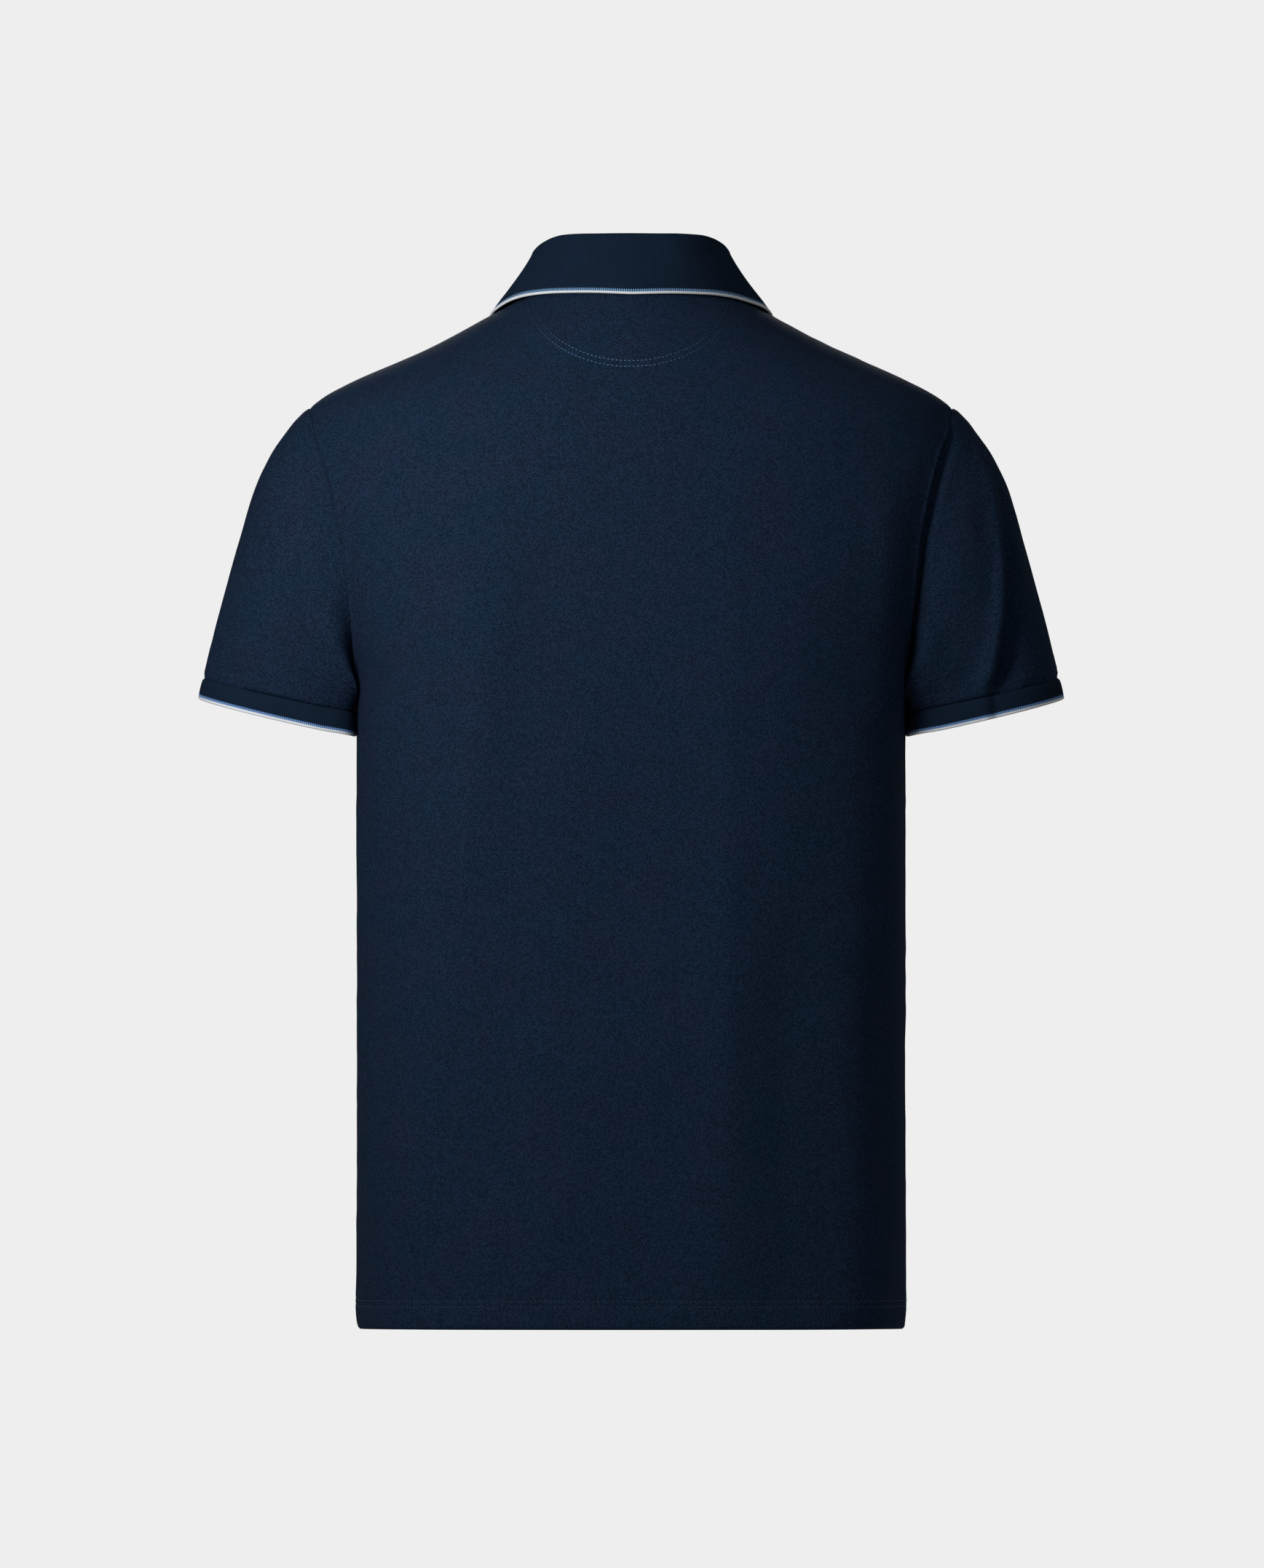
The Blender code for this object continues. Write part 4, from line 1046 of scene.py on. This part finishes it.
def makeCuff(name, node, flip, sleeveName, material):
    topPlace = np.array([curve(1.0) for curve in sleeveCurves])
    bottomPlace = np.array(sleeveForm["cuffBottom"])
    sag, folds, facts = sleeveForm["sag"], sleeveForm["folds"][sleeveName], sleeveForm["allowance"]
    dense = np.linspace(0, 2 * math.pi, 2001)[:-1]
    ring, _, _ = sleeveSection((topPlace + bottomPlace) / 2, dense, 0, sag, folds, 1)
    run = np.concatenate([[0], np.cumsum(np.linalg.norm(np.roll(ring, -1, axis=0) - ring, axis=1))])
    ribs = int(round(run[-1] / knit["ribPitch"]))
    perRib = knit["ribColumns"]
    columns = ribs * perRib
    angles = np.interp(np.arange(columns) * run[-1] / columns, run, np.append(dense, 2 * math.pi))
    length = np.linalg.norm((bottomPlace - topPlace)[:2])
    stops = [([curve(along) for curve in sleeveCurves], along) for along in facts["cuffRows"]]
    for part in (2 * knit["seam"] / length, *sleeveForm["cuffRows"]):
        stops.append((topPlace + (bottomPlace - topPlace) * part, 1))
    base, normals = [], []
    for place, along in stops:
        ring, _, normal = sleeveSection(place, angles, 0, sag * along, folds, along)
        base.append(ring)
        normals.append(normal)
    base, normals = np.array(base), np.array(normals)
    run = alongRows(base, 0)
    fromTop = run - run[3:4]
    toEdge = run[-1:] - run
    phase = np.arange(columns) / perRib
    wave = np.cos(2 * math.pi * phase)[None]
    depth = knit["ribDepth"] * (0.35 + 0.65 * ease(toEdge, 0.0008, 0.0035))
    beside = ease(np.cos(angles), -0.97, -0.85)  # no dip where the cuff lies on the body
    full = sleeveForm["cuffBulge"] * np.sin(math.pi * np.clip(fromTop / fromTop[-1:], 0, 1))
    bulge = (full - ridge(fromTop, sleeveForm["cuffGroove"])) * beside + ridge(toEdge, sleeveForm["cuffEdge"])
    outer = base + normals * (bulge + depth * wave)[..., None]
    inner = base - normals * (knit["rib"] - bulge * 0.4 + depth * wave * 0.8)[..., None]
    outer, inner = rollEdge(outer, inner, toEdge, 0.0006)
    outer[:3] = (base - normals * (knit["wall"] + facts["cuffClear"]))[:3]
    inner[:3] = outer[:3] - normals[:3] * facts["thick"]
    u = np.broadcast_to(phase, toEdge.shape).astype(float)
    if flip:
        outer, inner = outer * (-1, 1, 1), inner * (-1, 1, 1)
    piece = knitShell(name, outer[::-1], inner[::-1], (u, toEdge[::-1]), material, closed=True)
    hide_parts(node)
    return piece


print("polo shirt: sleeves")
leftSleeve = makeSleeve("leftSleeve", "sleeve_left", False, sleevePique)
rightSleeve = makeSleeve("rightSleeve", "sleeve_right", True, sleevePique)
leftCuff = makeCuff("leftCuff", "cuff_left", False, "leftSleeve", cuffRib)
rightCuff = makeCuff("rightCuff", "cuff_right", True, "rightSleeve", cuffRib)

collarForm = {
    # degrees round, fold x, y, z, turn under the free edge, its z, bulge, lean of the fall outwards
    "sections": (
        (0, 0.0000, 0.0690, 0.0511, 90, 0.0090, 0.0020, 0.00),
        (25, 0.0285, 0.0650, 0.0511, 68, 0.0098, 0.0020, 0.00),
        (45, 0.0463, 0.0520, 0.0507, 50, 0.0095, 0.0020, 0.05),
        (65, 0.0576, 0.0310, 0.0478, 30, 0.0080, 0.0032, 0.38),
        (90, 0.0656, 0.0020, 0.0403, 0, 0.0013, 0.0022, 0.50),
        (115, 0.0645, -0.0250, 0.0312, -28, -0.0085, 0.0030, 0.13),
        (140, 0.0580, -0.0495, 0.0130, -50, -0.0230, 0.0020, 0.10),
        (160, 0.0420, -0.0660, -0.0090, -65, -0.0420, 0.0030, 0.05),
        (180, 0.0030, -0.0790, -0.0370, -76, -0.0640, 0.0020, 0.00),
    ),
    # x, how much higher the free edge lies there at the back
    "uneven": (
        (-0.10, -0.0006),
        (-0.080, -0.0010),
        (-0.055, -0.0003),
        (0.0, 0.0003),
        (0.055, 0.0007),
        (0.085, 0.0009),
        (0.10, 0.0004),
    ),
    "curl": 0.0005,
    "foldRadius": 0.0020,
    "lift": 0.0018,  # of the free edge off the body
    "endX": 0.0009,
    # how far the curves of stand and fall run on before they bend, as shares and at most
    "pull": 0.3,
    "edgePull": 0.4,
    "drop": 0.010,
    # height, distance from the free edge, width
    "edgeRidge": (0.00022, 0.0013, 0.0013),
    "edgeGroove": (0.00015, 0.0033, 0.0010),
    "stand": np.linspace(0, 1, 8),
    "foldSteps": 7,
    "fall": np.concatenate([np.linspace(0, 0.80, 10), [0.86, 0.91, 0.94, 0.965, 0.985, 1.0]]),
}
collarCurves = smoothColumns(collarForm["sections"])


def bezier(start, first, second, end, shares):
    part = np.asarray(shares)[:, None]
    rest = 1 - part
    return rest**3 * start + 3 * rest**2 * part * first + 3 * rest * part**2 * second + part**3 * end


def collarPath(turn, place, step):
    # middle line of the collar's wall: up the stand, over the fold and down the fall
    foldX, foldY, foldZ, edgeTurn, edgeZ, bulge, lean = place
    z = necklineZ(turn)
    out = torsoNormal(turn, z)
    rise = unit(np.cross(step, out))
    rise = rise * np.sign(rise[2])
    seam = torso(turn, z) - out * knit["rib"] / 2 + rise * knit["seam"]
    edgeTurn = math.radians(edgeTurn)
    edge = torso(edgeTurn, edgeZ) + collarForm["lift"] * torsoNormal(edgeTurn, edgeZ)
    up = np.array([0, 0, 1.0])
    radius = collarForm["foldRadius"]
    centre = np.array([foldX, foldY, foldZ]) - up * radius
    outward = unit((edge - centre) * (1, 1, 0))
    inside, outside = centre - outward * radius, centre + outward * radius
    stand, fall = np.linalg.norm(inside - seam), np.linalg.norm(edge - outside)
    pull = stand * collarForm["pull"]
    standPath = bezier(seam, seam + rise * pull, inside - up * pull, inside, collarForm["stand"])
    bend = np.linspace(math.pi, 0, collarForm["foldSteps"] + 1)[1:-1, None]
    foldPath = centre + radius * (np.cos(bend) * outward + np.sin(bend) * up)
    toward = edge + (outside - edge) * collarForm["edgePull"] + outward * bulge
    below = outside + (outward * lean - up) * min(fall * collarForm["pull"], collarForm["drop"])
    return np.concatenate([standPath, foldPath, bezier(outside, below, toward, edge, collarForm["fall"])]), out


def makeCollar(material):
    endTop = heightsAtX(placket["width"] / 2 + knit["seam"])[-1]
    endTurn = float(turnAtX(collarForm["endX"], endTop, -1))
    dense = np.linspace(math.pi / 2, endTurn, 500)
    seamLine = torso(dense, necklineZ(dense))
    rounds = 90 - np.degrees(dense)
    foldLine = np.stack([collarCurves[i](rounds) for i in range(3)], -1)
    edgeTurns = np.radians(collarCurves[3](rounds))
    edgeLine = torso(edgeTurns, collarCurves[4](rounds))
    run = sum(alongRows(line[None], 1)[0] for line in (seamLine, foldLine, edgeLine)) / 3
    ribs = int(round(run[-1] / knit["ribPitch"]))
    perRib = knit["ribColumns"]
    at = np.linspace(0, run[-1], ribs * perRib + 1)
    turns = np.interp(at, run, dense)
    steps = placesAlong(at, run, np.gradient(seamLine, axis=0))
    half, outs = [], []
    for turn, step in zip(turns, steps):
        place = [float(curve(90 - math.degrees(turn))) for curve in collarCurves]
        path, out = collarPath(turn, place, step)
        half.append(path)
        outs.append(out)
    half, outs = np.array(half), np.array(outs)
    middle = np.concatenate([half[::-1], half[1:] * (-1, 1, 1)])
    out = np.concatenate([outs[::-1], outs[1:] * (-1, 1, 1)])
    normal = unit(np.cross(np.gradient(middle, axis=1), np.gradient(middle, axis=0)))
    normal *= np.sign((normal[:, 0] * out).sum(-1))[:, None, None]
    normal[:, 0] = out
    run = alongRows(middle, 1)
    toEdge = run[:, -1:] - run
    shiftAt = smoothColumns(collarForm["uneven"])[0]
    middle[..., 2] += shiftAt(middle[..., 0]) * (1 - ease(toEdge, 0.0, 0.030)) * ease(middle[..., 1], -0.005, 0.025)
    middle = middle - normal * (collarForm["curl"] * hump(toEdge, 0.0025))[..., None]
    phase = (np.arange(len(middle)) - (len(middle) - 1) / 2) / perRib
    wave = np.cos(2 * math.pi * phase)[:, None]
    depth = knit["ribDepth"] * (0.35 + 0.65 * ease(toEdge, 0.0012, 0.0042)) * ease(run, 0.0, 0.004)
    # the knitted edge is thicker and rolls a little
    edge = ridge(toEdge, collarForm["edgeRidge"]) - ridge(toEdge, collarForm["edgeGroove"])
    wavy = 0.0005 * softNoise(np.arange(len(middle))[:, None] * knit["ribPitch"] / perRib, run, 0.03, 91)
    wavy = wavy * ease(toEdge, 0.0, 0.01) * ease(run, 0.004, 0.02)
    # the front ends are straight and firm, the ribs fade out over the last one
    side = np.minimum(np.arange(len(middle)), np.arange(len(middle))[::-1])[:, None] * knit["ribPitch"] / perRib
    depth = depth * ease(side, 0.0005, 0.0025)
    outer = middle + normal * (knit["rib"] / 2 + wavy + edge + depth * wave)[..., None]
    inner = middle - normal * (knit["rib"] / 2 - wavy + edge * 0.3 + depth * wave)[..., None]
    outer, inner = rollEdge(outer, inner, toEdge, 0.0012)
    outer, inner = rollEdge(outer, inner, side * np.ones_like(toEdge), 0.0011)
    grainU = np.broadcast_to(phase[:, None], toEdge.shape).astype(float)
    # the grid turns so that its rows run from the free edge to the neck seam
    flipped = lambda grid: np.swapaxes(grid, 0, 1)[::-1]
    piece = knitShell("ribCollar", flipped(outer), flipped(inner), (flipped(grainU), flipped(toEdge)), material)
    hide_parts("collar")
    return piece


print("polo shirt: collar")
ribCollar = makeCollar(collarRib)

placketStitch = {"inset": 0.0020, "pitch": 0.0030, "length": 0.0025, "radius": 0.00026}


def placketSurface(xs, heights, level):
    # places at these x on the front, on rows that follow the neckline
    grid = []
    for x in xs:
        z = heightsAtX(abs(x) + 1e-6)[heights]
        turns = turnAtX(x, z, -1)
        point, normal = surfacePoint(-1, turns, z)
        grid.append(point + normal * level)
    return np.array(grid).transpose(1, 0, 2)


def makePlacket(name, node, halfWidth, outerLevel, innerLevel, topGap, bottomGap, material, lower=0):
    rows = slice(placketRow() - lower, None)
    half = np.concatenate([[0, 0.0006, 0.0013, 0.0020, 0.0027], np.linspace(0.004, halfWidth, 6)])
    xs = np.concatenate([halfWidth - half, -(halfWidth - half)[-2::-1]])
    outer = placketSurface(xs, rows, outerLevel)
    inner = placketSurface(xs, rows, innerLevel)
    for points in (outer, inner):
        points[0, :, 2] += bottomGap
        points[-1, :, 2] -= topGap
    v = alongRows(outer, 0)
    fromSide = halfWidth - np.abs(xs)
    normal = unit(outer - inner)
    groove = 0.00025 * hump(fromSide - placketStitch["inset"], 0.0008)[None]
    outer = outer + normal * (0.00012 * softNoise(v, xs[None], 0.02, 61) - groove)[..., None]
    outer, inner = rollEdge(outer, inner, np.broadcast_to(fromSide, v.shape), 0.0009)
    outer, inner = rollEdge(outer, inner, v, 0.0009)
    u = np.broadcast_to(halfWidth - xs, v.shape).astype(float)
    piece = knitShell(name, outer, inner, (u, v), material)
    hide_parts(node)
    return piece, {"outer": outer, "normal": normal, "xs": xs}


print("polo shirt: placket")
seam, wall, halfPlacket = knit["seam"], knit["wall"], placket["width"] / 2
topPlacket, placketGrid = makePlacket(
    "topPlacket", "placket_top", halfPlacket, placket["proud"], -wall, 0.0, seam, pique
)
underWidth = halfPlacket + placket["underWider"]  # it reaches behind both edges of the slit
underLevels = -wall - seam, -2 * wall - seam
underPlacket, _ = makePlacket(
    "underPlacket", "placket_under", underWidth, *underLevels, placket["underGap"], 0.0, pique, placket["underRows"]
)


def makeNeckPatch(material):
    halfWidth, drop = neckPatch["cloth"]
    outer, inner = [], []
    for share in np.linspace(-0.97, 0.97, 71):
        x = share * halfWidth
        top = torsoForm["neckSide"]
        for _ in range(6):
            top = float(necklineZ(turnAtX(x, top, 1)))
        heights = np.linspace(neckPatch["centre"][1] - drop * math.sqrt(1 - share * share), top - 0.0005, 26)
        turns = turnAtX(x, heights, 1)
        out = torsoNormal(turns, heights)
        outer.append(torso(turns, heights) - out * (wall + seam))
        inner.append(outer[-1] - out * neckPatch["thick"])
    outer, inner = np.array(outer), np.array(inner)
    piece = knitShell("neckPatch", outer, inner, (alongRows(outer, 0), alongRows(outer, 1)), material)
    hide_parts("half_moon")
    return piece


neckPatchPiece = makeNeckPatch(pique)

buttonFacts = {
    "radius": 0.0058,
    "thick": 0.0022,
    "heights": (-0.076, -0.125, -0.174),
    "holeRing": 0.00155,
    "hole": 0.00062,
    # shares of the radius and of the thickness, from the back over the rim to the front
    "profile": (
        *((0.0, 0.0), (0.72, 0.0), (0.90, 0.10), (0.99, 0.34), (1.0, 0.62), (0.965, 0.86), (0.90, 0.98)),
        *((0.83, 1.0), (0.76, 0.93), (0.70, 0.78), (0.62, 0.68), (0.45, 0.64), (0.0, 0.62)),
    ),
    # of the sewing thread over the holes
    "threadRise": 0.66,
    "threadApart": 0.00022,
    "threadRadius": 0.00022,
}
buttonholeFacts = {"length": 0.0145, "halfWidth": 0.0013, "step": 0.00052, "radius": 0.00026}


def buttonMaterial():
    paint = Paint("navyButton", 0.28, 0.5)
    swirl = paint.noise(paint.place()[0], 340.0, 3.0)
    colour = paint.mix(paint.clamped(swirl, 0.35, 0.7), (0.006, 0.010, 0.020), (0.020, 0.030, 0.052))
    return paint.drive(colour, swirl * 0.15 + 0.2)


def makeButton(name, node, height, material):
    # a turned disc with a raised rim, drilled with four holes
    point, normals = surfacePoint(-1, np.array([-math.pi / 2]), np.array([height]))
    out, across = normals[0], np.array([1.0, 0.0, 0.0])
    up = np.cross(out, across)
    seat = point[0] + out * (placket["proud"] + knit["seam"])
    spoke = lambda angle: across * math.cos(angle) + up * math.sin(angle)
    steps, points, faces = 64, [], []
    for share, rise in buttonFacts["profile"]:
        for step in range(1 if share == 0 else steps):
            side = spoke(2 * math.pi * step / steps) * share * buttonFacts["radius"]
            points.append(seat + side + out * rise * buttonFacts["thick"])
    final, rings = len(points) - 1, len(buttonFacts["profile"]) - 3
    for step in range(steps):
        beside = (step + 1) % steps
        faces.append((0, 1 + step, 1 + beside))
        for start in range(1, 1 + rings * steps, steps):
            faces.append((start + step, start + step + steps, start + beside + steps, start + beside))
        start = 1 + rings * steps
        faces.append((final, start + beside, start + step))
    mesh = bpy.data.meshes.new(name)
    mesh.from_pydata([tuple(place) for place in points], [], faces)
    button = finishPiece(name, mesh, material)
    centres = [seat + spoke(math.pi / 4 + quarter * math.pi / 2) * buttonFacts["holeRing"] for quarter in range(4)]
    drills = []
    for centre in centres:
        work = bmesh.new()
        hole = buttonFacts["hole"]
        bmesh.ops.create_cone(work, cap_ends=True, segments=20, radius1=hole, radius2=hole, depth=0.006)
        turned = Vector(out).to_track_quat("Z", "Y").to_matrix().to_4x4()
        turned.translation = Vector(centre)
        bmesh.ops.transform(work, matrix=turned, verts=work.verts)
        drill = bpy.data.objects.new("drill", bpy.data.meshes.new("drill"))
        work.to_mesh(drill.data)
        work.free()
        bpy.context.scene.collection.objects.link(drill)
        cut = button.modifiers.new("drill", "BOOLEAN")
        cut.operation, cut.object, cut.solver = "DIFFERENCE", drill, "EXACT"
        drills.append(drill)
    bpy.context.view_layer.update()
    drilled = bpy.data.meshes.new_from_object(button.evaluated_get(bpy.context.evaluated_depsgraph_get()))
    button.modifiers.clear()
    button.data = drilled
    drilled.shade_smooth()
    drilled.set_sharp_from_angle(angle=math.radians(smoothUpTo["button"]))
    for drill in drills:
        bpy.data.objects.remove(drill, do_unlink=True)
    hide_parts(node)
    return centres, out, up


def singleStitch(path, normals, radius):
    # one stitch along the whole path
    length = np.linalg.norm(path[-1] - path[0])
    return stitchRow(path, normals, {"pitch": length, "length": length * 0.86, "radius": radius})


print("polo shirt: buttons")
navyButton = buttonMaterial()
threads = []
for number, height in enumerate(buttonFacts["heights"], 1):
    centres, out, up = makeButton(f"placketButton{number}", f"button_{number}", height, navyButton)
    top = out * buttonFacts["thick"] * buttonFacts["threadRise"]
    for first, second in ((0, 1), (3, 2)):
        start, end = centres[first] + top, centres[second] + top
        path = start + (end - start) * np.linspace(-0.12, 1.12, 12)[:, None]
        for shift in (-buttonFacts["threadApart"], buttonFacts["threadApart"]):
            normals = np.broadcast_to(out, path.shape)
            threads.append(singleStitch(path + up * shift, normals, buttonFacts["threadRadius"]))
xs, half = np.linspace(-1, 1, 6) * buttonholeFacts["halfWidth"], buttonholeFacts["length"] / 2
for height in buttonFacts["heights"]:
    for z in height + np.arange(-half, half, buttonholeFacts["step"]):
        path, normals = surfacePoint(-1, turnAtX(xs, z, -1), z + 0 * xs, placket["proud"])
        threads.append(singleStitch(path, normals, buttonholeFacts["radius"]))
stitchPiece("buttonThreads", threads, navyThread)


def placketStitches():
    # both long edges, and two rows across the foot
    grid, normal, xs = placketGrid["outer"], placketGrid["normal"], placketGrid["xs"]
    lines = []
    for side in (1, -1):
        column = int(np.argmin(np.abs(xs - side * (halfPlacket - placketStitch["inset"]))))
        lines.append((slice(1, -1), column))
    for up in (0.002, 0.026):
        lines.append((int(np.argmin(np.abs(alongRows(grid, 0)[:, 8] - up))), slice(3, -3)))
    rows = [stitchRow(grid[line], normal[line], placketStitch) for line in lines]
    return stitchPiece("placketStitches", rows, navyThread)


placketThread = placketStitches()

studio = {
    "aim": (-0.00055, 0.0, -0.3235),
    "distance": 9.0,
    "lens": 300.8,
    "floor": -0.935,
    "floorShade": 0.60,
    "grey": 0.855,
    "ambient": 0.15,
    # place, what it points at, size, watts
    "lights": {
        "keyLight": ((0.55, 0.85, 0.10), (0.0, 0.0, -0.25), 0.50, 8.6),
        "topLight": ((-0.35, 0.75, 0.95), (0.0, 0.0, -0.05), 0.40, 1.4),
        "chestLight": ((0.05, -1.60, 0.35), (0.0, 0.0, -0.25), 0.80, 15.0),
        "sideLight": ((-1.60, -0.90, 0.20), (0.0, 0.0, -0.25), 0.80, 1.2),
    },
}


def makeFloor():
    mesh = bpy.data.meshes.new("studioFloor")
    steps = 96
    ring = [(math.cos(2 * math.pi * step / steps), math.sin(2 * math.pi * step / steps)) for step in range(steps)]
    mesh.from_pydata([(x, y, studio["floor"]) for x, y in ring], [], [tuple(range(steps))])
    floor = bpy.data.objects.new("studioFloor", mesh)
    bpy.context.scene.collection.objects.link(floor)
    paint = Paint("paleFloor", 0.7, 0.2)
    shade = studio["floorShade"]
    speckle = paint.noise(paint.place()[0], 30.0)
    mesh.materials.append(paint.drive(paint.mix(speckle, (shade * 0.98,) * 3, (shade * 1.02,) * 3)))


def softLight(name, place, aim, size, watts):
    lamp = bpy.data.lights.new(name, "AREA")
    lamp.shape, lamp.size, lamp.energy = "DISK", size, watts
    light = bpy.data.objects.new(name, lamp)
    light.location = place
    light.rotation_euler = (Vector(aim) - Vector(place)).to_track_quat("-Z", "Y").to_euler()
    light.visible_camera = False
    bpy.context.scene.collection.objects.link(light)


def makeWorld():
    world = bpy.data.worlds.new("studio")
    world.use_nodes = True
    bpy.context.scene.world = world
    tree = world.node_tree
    background = tree.nodes["Background"]
    background.inputs["Color"].default_value = (1, 1, 1, 1)
    background.inputs["Strength"].default_value = studio["ambient"]
    seen = tree.nodes.new("ShaderNodeBackground")
    seen.inputs["Color"].default_value = (studio["grey"],) * 3 + (1,)
    path, mix = tree.nodes.new("ShaderNodeLightPath"), tree.nodes.new("ShaderNodeMixShader")
    tree.links.new(path.outputs["Is Camera Ray"], mix.inputs[0])
    tree.links.new(background.outputs[0], mix.inputs[1])
    tree.links.new(seen.outputs[0], mix.inputs[2])
    tree.links.new(mix.outputs[0], tree.nodes["World Output"].inputs["Surface"])


def makeCamera():
    lens = bpy.data.cameras.new("camera")
    lens.sensor_width, lens.lens = 36.0, studio["lens"]
    lens.clip_start, lens.clip_end = 0.1, 60
    camera = bpy.data.objects.new("camera", lens)
    aim = Vector(studio["aim"])
    camera.location = aim + Vector((0, studio["distance"], 0))
    camera.rotation_euler = (math.pi / 2, 0, math.pi)
    bpy.context.scene.collection.objects.link(camera)
    bpy.context.scene.camera = camera


print("polo shirt: studio")
makeFloor()
makeWorld()
for name, facts in studio["lights"].items():
    softLight(name, *facts)
makeCamera()
bpy.context.scene.view_settings.view_transform = "Standard"
